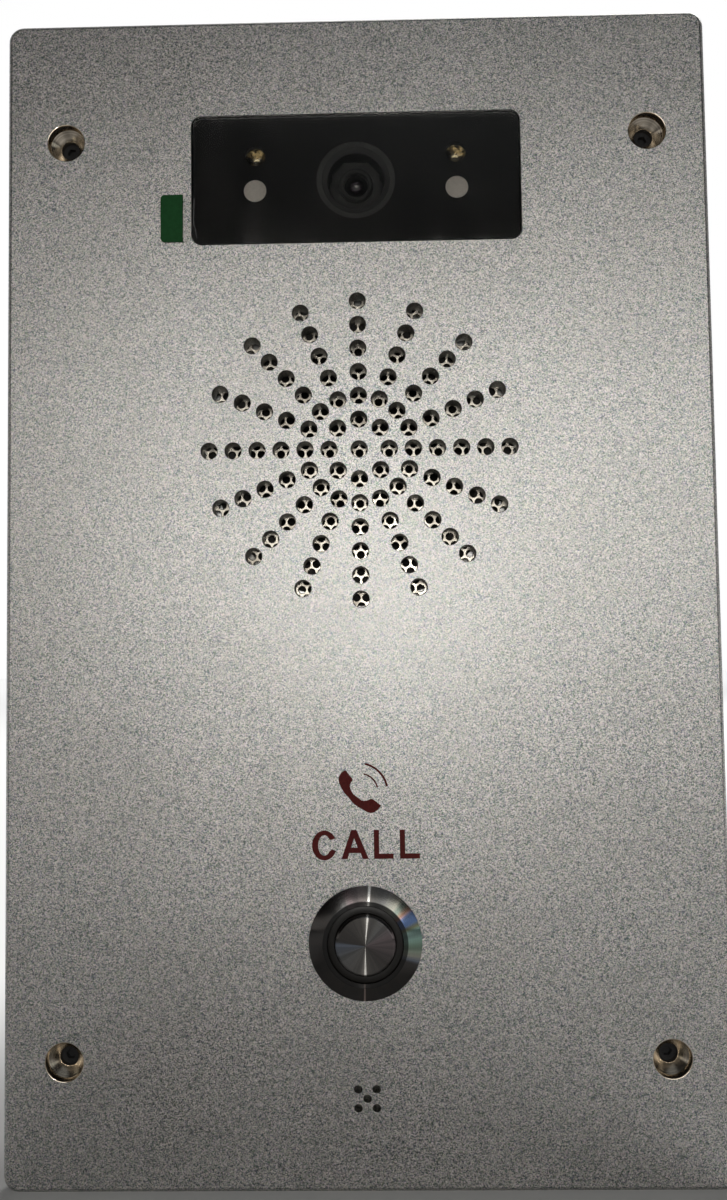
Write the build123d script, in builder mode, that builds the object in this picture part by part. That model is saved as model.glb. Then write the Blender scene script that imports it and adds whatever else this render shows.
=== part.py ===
from build123d import *
from math import cos, pi, sin
import os

# Video door station. X runs to the right, Z up, and the panel's front faces -Y. The origin is at the middle of
# the four fixing holes, on the panel's rear face. All sizes are in millimetres.

# Rounds that repeat or stay hidden are drawn with straight sides: this many on the holes of the grille and the
# microphone, on studs and screws, and on the rounds behind the panel
grille_sides = 8
fastener_sides = 6
hidden_sides = 12

# Panel: a machined plate with a chamfered front edge
panel_width = 141.5
panel_height = 232.5
panel_thickness = 5.0
panel_corner_radius = 3.0
panel_chamfer = 0.8

# Fixing holes: counterbored from the front, with the drill's cone at the foot of the counterbore
fixing_inset_x = 11.95
fixing_inset_z = 24.75
fixing_hole_d = 3.7
fixing_head_d = 7.4
fixing_head_depth = 2.4
drill_angle = 118.0
fixing_spacing_x = panel_width - 2 * fixing_inset_x
fixing_spacing_z = panel_height - 2 * fixing_inset_z

# Camera window: a tinted pane in a pocket, on an adhesive frame, with a black mask behind it. The mask is open
# for the camera's ring, two lamps above and two light pipes below.
camera_opening_d = 16.0
camera_margin = 5.25
window_width = 66.4
window_height = camera_opening_d + 2 * camera_margin
window_thickness = 2.0
window_corner_radius = 2.0
window_clearance = 0.1
window_ledge = 3.5
window_drop = 33.05
window_z = panel_height / 2 - window_drop
mask_thickness = 0.2
tape_thickness = 0.4
lamp_opening_d = 4.1
pipe_opening_d = 4.6
lamp_x = 20.4
lamp_rise = 5.3
pipe_x = 20.5
pipe_drop = 1.9

# Protective film on the pane, with a strip that runs under a tape tab at the left
film_thickness = 0.15
film_margin = 0.5
film_strip_reach = 5.2
tab_width = 4.5
tab_height = 9.7
tab_corner_radius = 0.8
tab_thickness = 0.25
tab_gap = 1.8
tab_drop = 7.9

# Studs and nuts on the panel's rear
stud_d = 3.0
stud_length = 8.0
nut_sides = 6
nut_across_flats = 5.5
nut_thickness = 2.4
stud_clearance = 0.2
thread_clearance = 0.05
sliding_clearance = 0.1
running_clearance = 0.08

# Carrier behind the window, with an ear for a stud at each end
bezel_overlap_x = 4.8
bezel_overlap_z = 3.75
bezel_width = window_width + 2 * bezel_overlap_x
bezel_height = window_height + 2 * bezel_overlap_z
bezel_thickness = 2.0
bezel_clearance = 0.2
ear_reach = 4.0
ear_width = 9.0
ear_spacing = bezel_width + 2 * ear_reach

# Camera board on the carrier's four pillars
camera_board_inset_x = 2.0
camera_board_inset_z = 1.0
camera_board_width = bezel_width - 2 * camera_board_inset_x
camera_board_height = bezel_height - 2 * camera_board_inset_z
camera_board_thickness = 1.4
pillar_inset_x = 5.0
pillar_inset_z = 4.0
pillar_spacing_x = camera_board_width - 2 * pillar_inset_x
pillar_spacing_z = camera_board_height - 2 * pillar_inset_z
pillar_side = 6.0
pillar_length = 6.5
camera_screw_d = 2.2
camera_screw_length = 5.0
camera_screw_head_d = 4.0
camera_screw_head = 1.4

# Camera: a baffle ring, a square holder, a round barrel with its front lens, and a sensor on the board
baffle_overlap = 0.8
baffle_d = camera_opening_d + 2 * baffle_overlap
baffle_bore_d = 11.6
holder_base = 16.0
holder_base_depth = 4.0
holder_neck_clearance = 0.9
holder_neck = baffle_bore_d - 2 * holder_neck_clearance
holder_neck_chamfer = 2.4
holder_neck_depth = 4.2
holder_wall = 2.0
sensor_side = 6.4
sensor_thickness = 0.9
barrel_d = 7.0
barrel_length = 5.8
barrel_proud = 0.6
barrel_bore_d = 3.2
lens_d = 4.8
lens_seat_depth = 0.8
lens_bevel = 0.4
lamp_d = 4.8
lamp_nose = 1.2
lamp_length = 5.0
lamp_leg = 0.5
lamp_leg_spacing = 2.54
pipe_d = 5.0
emitter_side = 3.0
emitter_thickness = 1.0

# Speaker: a pressed basket, a cone in a rolled surround, and a ring magnet with its yoke
basket_mouth_d = 57.0
basket_wall = 1.2
basket_slope = 8.0
basket_depth = 11.7
basket_bore_d = 18.0
basket_windows = 4
basket_window_width = 20.0
basket_window_margin = 2.2
rim_width = 2.7
rim_thickness = 0.6
roll_width = 3.6
slope_land = 0.05
cone_depth = 7.5
cone_slope = 16.0
dust_cap_d = 15.0
dust_cap_rise = 2.0
magnet_d = 40.0
magnet_depth = 8.0
yoke_d = 38.0
yoke_thickness = 3.0
pole_d = 14.4

# Speaker's seat: a perforated guard and a foam gasket under the square flange, on four studs
guard_thickness = 0.8
guard_hole_across = 7.0
guard_hole_pitch = 9.0
speaker_gasket_thickness = 1.5
speaker_gasket_clearance = 0.9
speaker_gasket_wall = 4.0
speaker_gasket_bore = basket_mouth_d + 2 * (rim_width - sliding_clearance + speaker_gasket_clearance)
speaker_side = speaker_gasket_bore + 2 * speaker_gasket_wall
speaker_flange_thickness = 1.0
speaker_stud_inset = 5.0
speaker_stud_spacing = speaker_side - 2 * speaker_stud_inset
roll_clearance = 0.1
roll_depth = speaker_gasket_thickness - rim_thickness - roll_clearance

# Grille: one hole in the middle, a first ring of half as many holes, and five full rings
speaker_bezel_gap = 2.4
grille_z = window_z - bezel_height / 2 - speaker_bezel_gap - speaker_side / 2
grille_hole_d = 3.3
grille_ring_holes = 16
grille_first_radius = 6.0
grille_second_radius = 10.8
grille_pitch = 4.8
grille_full_rings = 5

# Call button: a bevelled flange and a threaded barrel, a light ring, and a cap that is pressed
button_rise = 47.25
button_z = button_rise - panel_height / 2
button_flange_d = 22.0
button_flange_edge = 0.4
button_flange_rise = 1.6
button_barrel_d = 18.8
button_barrel_length = 14.0
button_hole_clearance = 0.2
button_seal_thickness = 0.4
button_seal_width = 1.2
button_travel = 2.5
button_end_gap = 4.2
light_ring_d = 14.6
light_ring_wall = 1.32
light_ring_recess = 0.3
light_ring_depth = 2.6
light_ring_seat = 0.3
button_rim_width = 1.0
button_rim_d = light_ring_d + 2 * button_rim_width
button_bore_d = light_ring_d - 2 * light_ring_seat
cap_d = light_ring_d - 2 * (light_ring_wall + running_clearance)
cap_proud = 1.0
cap_chamfer = 0.35
collar_clearance = 0.4
collar_d = button_bore_d - 2 * collar_clearance
collar_thickness = 1.0
plunger_across_flats = 4.8
plunger_length = 12.0
spring_mean_d = 7.2
spring_wire = 0.7
spring_turns = 4
spring_bends = 10
spring_end = 0.5
base_d = 17.2
base_depth = 10.0
button_nut_across_flats = 24.0
button_nut_thickness = 4.0
terminal_blade_width = 2.8
terminal_blade_thickness = 0.5
terminal_blade_length = 5.0
terminal_blade_spacing = 5.0
terminal_blades = 3

# Microphone: five holes in the panel, a vent membrane, and a capsule in a rubber boot
microphone_rise = 17.55
microphone_z = microphone_rise - panel_height / 2
microphone_hole_d = 1.6
microphone_hole_spacing = 3.55
membrane_d = 12.0
membrane_thickness = 0.4
capsule_d = 9.7
capsule_depth = 5.0
capsule_clearance = 0.05
boot_wall = 2.1
boot_d = capsule_d + 2 * (capsule_clearance + boot_wall)
boot_mouth_d = 8.0
boot_lip = 1.0
boot_back = 1.6

# Foam seal between the panel and the wall. Its sides reach past the fixing holes, where the screws push
# through small punched holes.
gasket_inset = 1.5
gasket_width = 4.0
gasket_side_width = fixing_inset_x - gasket_inset + fixing_head_d / 2
gasket_thickness = 2.0
gasket_punch_d = 1.8

# Rear housing: an open tray over the electronics, screwed to the spacers
board_thickness = 1.6
board_side_gap = 2.0
board_top_gap = 4.0
ear_margin = 1.5
housing_wall = 2.0
housing_gasket_gap = 0.75
board_width = ear_spacing + ear_width + 2 * ear_margin
housing_width = board_width + 2 * (housing_wall + board_side_gap)
housing_height = panel_height - 2 * (gasket_inset + gasket_width + housing_gasket_gap)
housing_corner = 6.0
housing_opening_clearance = 0.3
vent_length = 36.0
vent_width = 1.8
vent_pitch = 5.0
vent_count = 7
vent_rise = 44.0
vent_z = vent_rise - housing_height / 2
housing_screw_head_d = 5.6
housing_screw_head = 1.9
housing_screw_length = 6.0
screw_bore_margin = 1.0

# Main board: from the housing's top to just above the button's nut, on four pillars
board_button_gap = 5.0
board_top = housing_height / 2 - housing_wall - board_top_gap
board_bottom = button_z + button_nut_across_flats / 2 + board_button_gap
board_height = board_top - board_bottom
board_z = (board_top + board_bottom) / 2
board_hole_inset = 5.0
board_hole_spacing_x = board_width - 2 * board_hole_inset
board_hole_spacing_z = board_height - 2 * board_hole_inset
board_clearance_d = 3.4
board_speaker_gap = 3.0
standoff_across_flats = 6.0
standoff_bore_depth = stud_length + screw_bore_margin
spacer_length = 13.4
spacer_screw_length = 6.0

# Parts on the main board
processor_side = 14.0
processor_thickness = 1.4
processor_x = -14.0
processor_rise = 44.0
processor_z = board_bottom + processor_rise
shield_width = 34.0
shield_height = 26.0
shield_depth = 3.4
shield_wall = 0.4
socket_drop = 22.0
jack_width = 16.0
jack_height = 14.0
jack_reach = spacer_length + housing_wall
jack_x = -22.0
jack_z = board_top - socket_drop
jack_socket_width = 11.9
jack_socket_height = 8.4
jack_socket_depth = 12.0
contact_count = 8
contact_pitch = 1.02
contact_width = 0.45
contact_thickness = 0.4
contact_length = 9.0
terminal_pitch = 5.08
terminal_ways = 6
terminal_height = 10.0
terminal_reach = spacer_length + housing_wall
terminal_x = 18.0
terminal_z = board_top - socket_drop
terminal_entry = 3.2
terminal_entry_depth = 8.0
terminal_entry_drop = 2.2
terminal_screw_d = 2.8
terminal_screw_depth = 1.0
terminal_screw_rise = 2.6
relay_width = 19.0
relay_height = 15.5
relay_depth = 12.0
relay_x = 27.0
relay_drop = 52.0
relay_z = board_top - relay_drop
transformer_width = 18.0
transformer_height = 14.0
transformer_depth = 10.0
transformer_x = -26.0
transformer_drop = 50.0
transformer_z = board_top - transformer_drop
capacitor_d = 8.0
capacitor_depth = 11.0
capacitor_pitch = 11.0
capacitor_count = 3
capacitor_x = 22.0
capacitor_rise = 46.0
capacitor_z = board_bottom + capacitor_rise

# Room behind the plunger when the button is pressed in
button_end_room = button_travel + running_clearance

# Levels along Y, worked out from the sizes above. The panel's rear face is at 0, and its front is below 0.
panel_front = -panel_thickness
pane_back = panel_front + window_thickness
mask_back = pane_back + mask_thickness
pocket_floor = mask_back + tape_thickness
bezel_back = bezel_thickness
camera_board_front = bezel_back + pillar_length
camera_board_back = camera_board_front + camera_board_thickness
holder_base_front = camera_board_front - holder_base_depth
holder_front = holder_base_front - holder_neck_depth
barrel_front = holder_front - barrel_proud
gasket_front = guard_thickness
speaker_front = gasket_front + speaker_gasket_thickness
flange_back = speaker_front + speaker_flange_thickness
basket_back = flange_back + basket_depth
magnet_back = basket_back + magnet_depth
button_flange_back = panel_front - button_seal_thickness
button_rim = button_flange_back - button_flange_rise
light_ring_front = button_rim + light_ring_recess
light_ring_back = light_ring_front + light_ring_depth
cap_front = button_rim - cap_proud
collar_back = light_ring_back + collar_thickness
guide_face = collar_back + button_travel + button_end_gap
yoke_back = magnet_back + yoke_thickness
barrel_end = button_barrel_length
base_back = barrel_end + base_depth
board_front = yoke_back + board_speaker_gap
board_back = board_front + board_thickness
housing_inside = board_back + spacer_length
housing_back = housing_inside + housing_wall

PLATE = (Align.CENTER, Align.MIN, Align.CENTER)


def level(y):
    """The plane across the object at depth y, seen from the front. An extrusion by -t runs t backwards."""
    return Plane.XZ.offset(-y)


def turned_at(x, z):
    """The plane for a turned piece's profile: its first coordinate is the radius and its second is Y."""
    return Plane(origin=(x, 0, z), x_dir=(1, 0, 0), z_dir=(0, 0, 1))


def axis_at(x, z):
    """The axis along Y that a turned piece turns about."""
    return Axis((x, 0, z), (0, 1, 0))


def sided_hole(diameter, sides, mode=Mode.ADD):
    """The outline of a round hole with straight sides, which touch the true circle from outside."""
    RegularPolygon(diameter / 2, sides, major_radius=False, mode=mode)


def sided_round(diameter, sides, mode=Mode.ADD):
    """The outline of a round piece with straight sides, whose corners lie on the true circle."""
    RegularPolygon(diameter / 2, sides, mode=mode)


def sloped_round(start, z, diameter, depth, slope):
    """A round solid from depth start backwards, with a side that slopes inwards by slope to its back."""
    with BuildPart() as solid:
        with BuildSketch(level(start)):
            with Locations((0, z)):
                sided_round(diameter, hidden_sides)
        extrude(amount=-depth)
        back = solid.faces().sort_by(Axis.Y)[-1]
        chamfer(back.edges(), length=slope, length2=depth - slope_land, reference=back)
    return solid.part


def save(builder, name):
    """Labels a finished piece and writes it as its own STEP file."""
    builder.part.label = name
    export_step(builder.part, f"parts/{name}.step")


os.makedirs("parts", exist_ok=True)


# Front panel
with BuildPart() as front_panel:
    with BuildSketch(level(0)):
        RectangleRounded(panel_width, panel_height, panel_corner_radius)
    extrude(amount=panel_thickness)
    chamfer(front_panel.faces().sort_by(Axis.Y)[0].edges(), panel_chamfer)
    # pocket for the pane, and the opening behind it
    with BuildSketch(level(panel_front)):
        with Locations((0, window_z)):
            RectangleRounded(
                window_width + 2 * window_clearance,
                window_height + 2 * window_clearance,
                window_corner_radius + window_clearance,
            )
    extrude(amount=panel_front - pocket_floor, mode=Mode.SUBTRACT)
    with BuildSketch(level(pocket_floor)):
        with Locations((0, window_z)):
            Rectangle(window_width - 2 * window_ledge, window_height - 2 * window_ledge)
    extrude(amount=pocket_floor, mode=Mode.SUBTRACT)
    # grille, button hole and microphone holes
    with BuildSketch(level(panel_front)):
        with Locations((0, grille_z)):
            sided_hole(grille_hole_d, grille_sides)
            with PolarLocations(grille_first_radius, grille_ring_holes // 2):
                sided_hole(grille_hole_d, grille_sides)
            for ring in range(grille_full_rings):
                with PolarLocations(grille_second_radius + ring * grille_pitch, grille_ring_holes):
                    sided_hole(grille_hole_d, grille_sides)
        with Locations((0, button_z)):
            sided_hole(button_barrel_d + 2 * button_hole_clearance, hidden_sides)
        with Locations((0, microphone_z)):
            sided_hole(microphone_hole_d, grille_sides)
            with GridLocations(microphone_hole_spacing, microphone_hole_spacing, 2, 2):
                sided_hole(microphone_hole_d, grille_sides)
    extrude(amount=-panel_thickness, mode=Mode.SUBTRACT)
    # fixing holes, counterbored down to the drill's cone
    with Locations(level(panel_front + fixing_head_depth)):
        with GridLocations(fixing_spacing_x, fixing_spacing_z, 2, 2):
            CounterSinkHole(fixing_hole_d / 2, fixing_head_d / 2, counter_sink_angle=drill_angle)
save(front_panel, "front_panel")

# Studs: four for the speaker, two for the carrier behind the window, four for the board's pillars
with BuildPart() as panel_studs:
    with BuildSketch(level(0)):
        with Locations((0, grille_z)):
            with GridLocations(speaker_stud_spacing, speaker_stud_spacing, 2, 2):
                sided_round(stud_d, fastener_sides)
        with Locations((0, window_z)):
            with GridLocations(ear_spacing, 0, 2, 1):
                sided_round(stud_d, fastener_sides)
        with Locations((0, board_z)):
            with GridLocations(board_hole_spacing_x, board_hole_spacing_z, 2, 2):
                sided_round(stud_d, fastener_sides)
    extrude(amount=-stud_length)
save(panel_studs, "panel_studs")

with BuildPart() as retaining_nuts:
    with BuildSketch(level(flange_back)):
        with Locations((0, grille_z)):
            with GridLocations(speaker_stud_spacing, speaker_stud_spacing, 2, 2):
                RegularPolygon(nut_across_flats / 2, nut_sides, major_radius=False)
                sided_hole(stud_d + 2 * thread_clearance, fastener_sides, mode=Mode.SUBTRACT)
    extrude(amount=-nut_thickness)
    with BuildSketch(level(bezel_back)):
        with Locations((0, window_z)):
            with GridLocations(ear_spacing, 0, 2, 1):
                RegularPolygon(nut_across_flats / 2, nut_sides, major_radius=False)
                sided_hole(stud_d + 2 * thread_clearance, fastener_sides, mode=Mode.SUBTRACT)
    extrude(amount=-nut_thickness)
save(retaining_nuts, "retaining_nuts")

# Foam seal round the panel's rear
with BuildPart() as panel_gasket:
    with BuildSketch(level(0)):
        Rectangle(panel_width - 2 * gasket_inset, panel_height - 2 * gasket_inset)
        Rectangle(
            panel_width - 2 * (gasket_inset + gasket_side_width),
            panel_height - 2 * (gasket_inset + gasket_width),
            mode=Mode.SUBTRACT,
        )
        with GridLocations(fixing_spacing_x, fixing_spacing_z, 2, 2):
            sided_hole(gasket_punch_d, fastener_sides, mode=Mode.SUBTRACT)
    extrude(amount=-gasket_thickness)
save(panel_gasket, "panel_gasket")

# Camera window, from the front backwards: film and tab, pane, mask, adhesive frame
with BuildPart() as protective_film:
    with BuildSketch(level(panel_front)):
        with Locations((0, window_z)):
            Rectangle(window_width - 2 * film_margin, window_height - 2 * film_margin)
        with Locations((film_margin - window_width / 2, window_z - tab_drop)):
            Rectangle(2 * film_margin + film_strip_reach, tab_height, align=(Align.MAX, Align.CENTER))
    extrude(amount=film_thickness)
save(protective_film, "protective_film")

tab_right = -window_width / 2 - tab_gap
with BuildPart() as film_pull_tab:
    with BuildSketch(level(panel_front - film_thickness)):
        with Locations((tab_right, window_z - tab_drop)):
            Rectangle(tab_width, tab_height, align=(Align.MAX, Align.CENTER))
    extrude(amount=tab_thickness)
    left_edges = film_pull_tab.edges().filter_by(Axis.Y).group_by(Axis.X)[0]
    fillet(left_edges, tab_corner_radius)
save(film_pull_tab, "film_pull_tab")

with BuildPart() as camera_window:
    with BuildSketch(level(panel_front)):
        with Locations((0, window_z)):
            RectangleRounded(window_width, window_height, window_corner_radius)
    extrude(amount=-window_thickness)
save(camera_window, "camera_window")

with BuildPart() as window_mask:
    with BuildSketch(level(pane_back)):
        with Locations((0, window_z)):
            Rectangle(window_width - 2 * film_margin, window_height - 2 * film_margin)
            sided_hole(camera_opening_d, hidden_sides, mode=Mode.SUBTRACT)
        with Locations((-lamp_x, window_z + lamp_rise), (lamp_x, window_z + lamp_rise)):
            sided_hole(lamp_opening_d, grille_sides, mode=Mode.SUBTRACT)
        with Locations((-pipe_x, window_z - pipe_drop), (pipe_x, window_z - pipe_drop)):
            sided_hole(pipe_opening_d, grille_sides, mode=Mode.SUBTRACT)
    extrude(amount=-mask_thickness)
save(window_mask, "window_mask")

with BuildPart() as window_tape:
    with BuildSketch(level(mask_back)):
        with Locations((0, window_z)):
            Rectangle(window_width - 2 * film_margin, window_height - 2 * film_margin)
            Rectangle(
                window_width - 2 * window_ledge, window_height - 2 * window_ledge, mode=Mode.SUBTRACT
            )
    extrude(amount=-tape_thickness)
save(window_tape, "window_tape")

# Carrier behind the window: a plug in the panel's opening, a flange with two ears, and four pillars
with BuildPart() as camera_bezel:
    with BuildSketch(level(mask_back)):
        with Locations((0, window_z)):
            Rectangle(
                window_width - 2 * (window_ledge + bezel_clearance),
                window_height - 2 * (window_ledge + bezel_clearance),
            )
    extrude(amount=mask_back)
    with BuildSketch(level(0)):
        with Locations((0, window_z)):
            Rectangle(bezel_width, bezel_height)
            Rectangle(ear_spacing + ear_width, ear_width)
            with GridLocations(ear_spacing, 0, 2, 1):
                sided_hole(stud_d + 2 * stud_clearance, fastener_sides, mode=Mode.SUBTRACT)
    extrude(amount=-bezel_thickness)
    with BuildSketch(level(bezel_back)):
        with Locations((0, window_z)):
            with GridLocations(pillar_spacing_x, pillar_spacing_z, 2, 2):
                Rectangle(pillar_side, pillar_side)
                sided_hole(camera_screw_d + 2 * thread_clearance, fastener_sides, mode=Mode.SUBTRACT)
    extrude(amount=-pillar_length)
    # wells for the baffle, the lamps and the light pipes
    with BuildSketch(level(mask_back)):
        with Locations((0, window_z)):
            Rectangle(baffle_d + 2 * sliding_clearance, baffle_d + 2 * sliding_clearance)
        with Locations((-lamp_x, window_z + lamp_rise), (lamp_x, window_z + lamp_rise)):
            Rectangle(lamp_d + 2 * sliding_clearance, lamp_d + 2 * sliding_clearance)
        with Locations((-pipe_x, window_z - pipe_drop), (pipe_x, window_z - pipe_drop)):
            Rectangle(pipe_d + 2 * sliding_clearance, pipe_d + 2 * sliding_clearance)
    extrude(amount=mask_back - bezel_back, mode=Mode.SUBTRACT)
save(camera_bezel, "camera_bezel")

with BuildPart() as camera_board:
    with BuildSketch(level(camera_board_front)):
        with Locations((0, window_z)):
            Rectangle(camera_board_width, camera_board_height)
            with GridLocations(pillar_spacing_x, pillar_spacing_z, 2, 2):
                sided_hole(camera_screw_d + 2 * stud_clearance, fastener_sides, mode=Mode.SUBTRACT)
    extrude(amount=-camera_board_thickness)
save(camera_board, "camera_board")

with BuildPart() as camera_screws:
    with BuildSketch(level(camera_board_back)):
        with Locations((0, window_z)):
            with GridLocations(pillar_spacing_x, pillar_spacing_z, 2, 2):
                sided_round(camera_screw_head_d, fastener_sides)
    extrude(amount=-camera_screw_head)
    with BuildSketch(level(camera_board_back)):
        with Locations((0, window_z)):
            with GridLocations(pillar_spacing_x, pillar_spacing_z, 2, 2):
                sided_round(camera_screw_d, fastener_sides)
    extrude(amount=camera_screw_length)
save(camera_screws, "camera_screws")

# Camera: baffle ring, square holder, round barrel, front lens and sensor
with BuildPart() as lens_baffle:
    with BuildSketch(level(mask_back)):
        with Locations((0, window_z)):
            sided_round(baffle_d, hidden_sides)
            sided_hole(baffle_bore_d, hidden_sides, mode=Mode.SUBTRACT)
    extrude(amount=mask_back - holder_base_front)
save(lens_baffle, "lens_baffle")

with BuildPart() as lens_holder:
    with Locations((0, holder_base_front, window_z)):
        Box(holder_base, holder_base_depth, holder_base, align=PLATE)
    with BuildSketch(level(holder_front)):
        with Locations((0, window_z)):
            neck = Rectangle(holder_neck, holder_neck)
            chamfer(neck.vertices(), holder_neck_chamfer)
    extrude(amount=-holder_neck_depth)
    with Locations((0, holder_base_front + holder_wall, window_z)):
        Box(
            holder_base - 2 * holder_wall,
            holder_base_depth - holder_wall,
            holder_base - 2 * holder_wall,
            align=PLATE,
            mode=Mode.SUBTRACT,
        )
    with BuildSketch(level(holder_front)):
        with Locations((0, window_z)):
            sided_hole(barrel_d + 2 * thread_clearance, hidden_sides)
    extrude(amount=-(holder_neck_depth + holder_wall), mode=Mode.SUBTRACT)
save(lens_holder, "lens_holder")

with BuildPart() as lens_barrel:
    with BuildSketch(level(barrel_front)):
        with Locations((0, window_z)):
            sided_round(barrel_d, hidden_sides)
            sided_hole(lens_d + 2 * thread_clearance, hidden_sides, mode=Mode.SUBTRACT)
    extrude(amount=-lens_seat_depth)
    with BuildSketch(level(barrel_front + lens_seat_depth)):
        with Locations((0, window_z)):
            sided_round(barrel_d, hidden_sides)
            sided_hole(barrel_bore_d, hidden_sides, mode=Mode.SUBTRACT)
    extrude(amount=lens_seat_depth - barrel_length)
save(lens_barrel, "lens_barrel")

with BuildPart() as lens_glass:
    with BuildSketch(level(barrel_front)):
        with Locations((0, window_z)):
            sided_round(lens_d, hidden_sides)
    extrude(amount=-lens_seat_depth)
    chamfer(lens_glass.faces().sort_by(Axis.Y)[0].edges(), lens_bevel)
save(lens_glass, "lens_glass")

with BuildPart() as image_sensor:
    with Locations((0, camera_board_front - sensor_thickness, window_z)):
        Box(sensor_side, sensor_thickness, sensor_side, align=PLATE)
save(image_sensor, "image_sensor")

# Lamps: round-nosed lamps on two legs each, and light pipes over their emitters
lamp_front = mask_back + sliding_clearance
lamp_back = lamp_front + lamp_length
with BuildPart() as white_lamps:
    with BuildSketch(level(lamp_front)):
        with Locations((-lamp_x, window_z + lamp_rise), (lamp_x, window_z + lamp_rise)):
            sided_round(lamp_d, grille_sides)
    extrude(amount=-lamp_length)
    chamfer(white_lamps.faces().filter_by(Axis.Y).group_by(Axis.Y)[0].edges(), lamp_nose)
    with BuildSketch(level(lamp_back)):
        with Locations((-lamp_x, window_z + lamp_rise), (lamp_x, window_z + lamp_rise)):
            with GridLocations(lamp_leg_spacing, 0, 2, 1):
                Rectangle(lamp_leg, lamp_leg)
    extrude(amount=lamp_back - camera_board_front)
save(white_lamps, "white_lamps")

with BuildPart() as light_pipes:
    with BuildSketch(level(mask_back)):
        with Locations((-pipe_x, window_z - pipe_drop), (pipe_x, window_z - pipe_drop)):
            sided_round(pipe_d, grille_sides)
    extrude(amount=mask_back - camera_board_front + emitter_thickness)
save(light_pipes, "light_pipes")

with BuildPart() as infrared_lamps:
    for side in (-1, 1):
        with Locations((side * pipe_x, camera_board_front - emitter_thickness, window_z - pipe_drop)):
            Box(emitter_side, emitter_thickness, emitter_side, align=PLATE)
save(infrared_lamps, "infrared_lamps")

# Perforated guard: hexagonal holes in staggered rows, out to the gasket's bore
guard_row = guard_hole_pitch * 3 ** 0.5 / 2
guard_reach = speaker_gasket_bore / 2 - guard_hole_across / 2
guard_rows = int(guard_reach // guard_row)
with BuildPart() as speaker_guard:
    with BuildSketch(level(0)):
        with Locations((0, grille_z)):
            Rectangle(speaker_side, speaker_side)
            with GridLocations(speaker_stud_spacing, speaker_stud_spacing, 2, 2):
                sided_hole(stud_d + 2 * stud_clearance, fastener_sides, mode=Mode.SUBTRACT)
        for row in range(-guard_rows, guard_rows + 1):
            height = row * guard_row
            half_width = (guard_reach ** 2 - height ** 2) ** 0.5
            shift = guard_hole_pitch / 2 if row % 2 else 0
            holes = [
                (shift + column * guard_hole_pitch, grille_z + height)
                for column in range(-guard_rows - 1, guard_rows + 1)
                if abs(shift + column * guard_hole_pitch) <= half_width
            ]
            with Locations(*holes):
                RegularPolygon(guard_hole_across / 2, 6, major_radius=False, mode=Mode.SUBTRACT)
    extrude(amount=-guard_thickness)
save(speaker_guard, "speaker_guard")

with BuildPart() as speaker_gasket:
    with BuildSketch(level(gasket_front)):
        with Locations((0, grille_z)):
            Rectangle(speaker_side, speaker_side)
            sided_hole(speaker_gasket_bore, hidden_sides, mode=Mode.SUBTRACT)
            with GridLocations(speaker_stud_spacing, speaker_stud_spacing, 2, 2):
                sided_hole(stud_d + 2 * stud_clearance, fastener_sides, mode=Mode.SUBTRACT)
    extrude(amount=-speaker_gasket_thickness)
save(speaker_gasket, "speaker_gasket")

# Speaker: pressed basket, diaphragm, ring magnet and yoke
basket_outside = sloped_round(
    flange_back, grille_z, basket_mouth_d + 2 * basket_wall, basket_depth, basket_slope
)
basket_inside = sloped_round(
    flange_back, grille_z, basket_mouth_d, basket_depth - basket_wall, basket_slope
)
with BuildPart() as speaker_frame:
    with BuildSketch(level(speaker_front)):
        with Locations((0, grille_z)):
            Rectangle(speaker_side, speaker_side)
            sided_round(basket_mouth_d, hidden_sides, mode=Mode.SUBTRACT)
            with GridLocations(speaker_stud_spacing, speaker_stud_spacing, 2, 2):
                sided_hole(stud_d + 2 * stud_clearance, fastener_sides, mode=Mode.SUBTRACT)
    extrude(amount=-speaker_flange_thickness)
    add(basket_outside)
    add(basket_inside, mode=Mode.SUBTRACT)
    with BuildSketch(level(flange_back)):
        with Locations((0, grille_z)):
            sided_hole(basket_bore_d, hidden_sides)
    extrude(amount=-basket_depth, mode=Mode.SUBTRACT)
    with BuildSketch(level(flange_back + basket_window_margin)):
        with Locations((0, grille_z)):
            with PolarLocations(basket_mouth_d / 2, basket_windows):
                Rectangle(basket_mouth_d / 2, basket_window_width)
    extrude(amount=2 * basket_window_margin + basket_wall - basket_depth, mode=Mode.SUBTRACT)
save(speaker_frame, "speaker_frame")

rim_front = speaker_front - rim_thickness
roll_outside_d = basket_mouth_d - 2 * sliding_clearance
cone_mouth_d = roll_outside_d - 2 * roll_width
cone_outside = sloped_round(
    rim_front, grille_z, cone_mouth_d + 2 * rim_thickness, cone_depth + rim_thickness, cone_slope
)
cone_inside = sloped_round(rim_front, grille_z, cone_mouth_d, cone_depth, cone_slope)
with BuildPart() as dust_cap:
    with BuildSketch(level(rim_front + cone_depth)):
        with Locations((0, grille_z)):
            sided_round(dust_cap_d, hidden_sides)
    extrude(amount=dust_cap_rise)
    chamfer(dust_cap.faces().sort_by(Axis.Y)[0].edges(), dust_cap_rise - slope_land)
with BuildPart() as speaker_diaphragm:
    # surround: a raised ring with sloped sides
    with BuildSketch(level(rim_front)):
        with Locations((0, grille_z)):
            sided_round(roll_outside_d, hidden_sides)
            sided_round(cone_mouth_d, hidden_sides, mode=Mode.SUBTRACT)
    extrude(amount=roll_depth)
    chamfer(speaker_diaphragm.faces().sort_by(Axis.Y)[0].edges(), roll_depth - slope_land)
    # rim, then the cone and the dust cap on its closed foot
    with BuildSketch(level(rim_front)):
        with Locations((0, grille_z)):
            sided_round(roll_outside_d + 2 * rim_width, hidden_sides)
            sided_round(cone_mouth_d, hidden_sides, mode=Mode.SUBTRACT)
    extrude(amount=-rim_thickness)
    add(cone_outside)
    add(cone_inside, mode=Mode.SUBTRACT)
    add(dust_cap.part)
save(speaker_diaphragm, "speaker_diaphragm")

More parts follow.
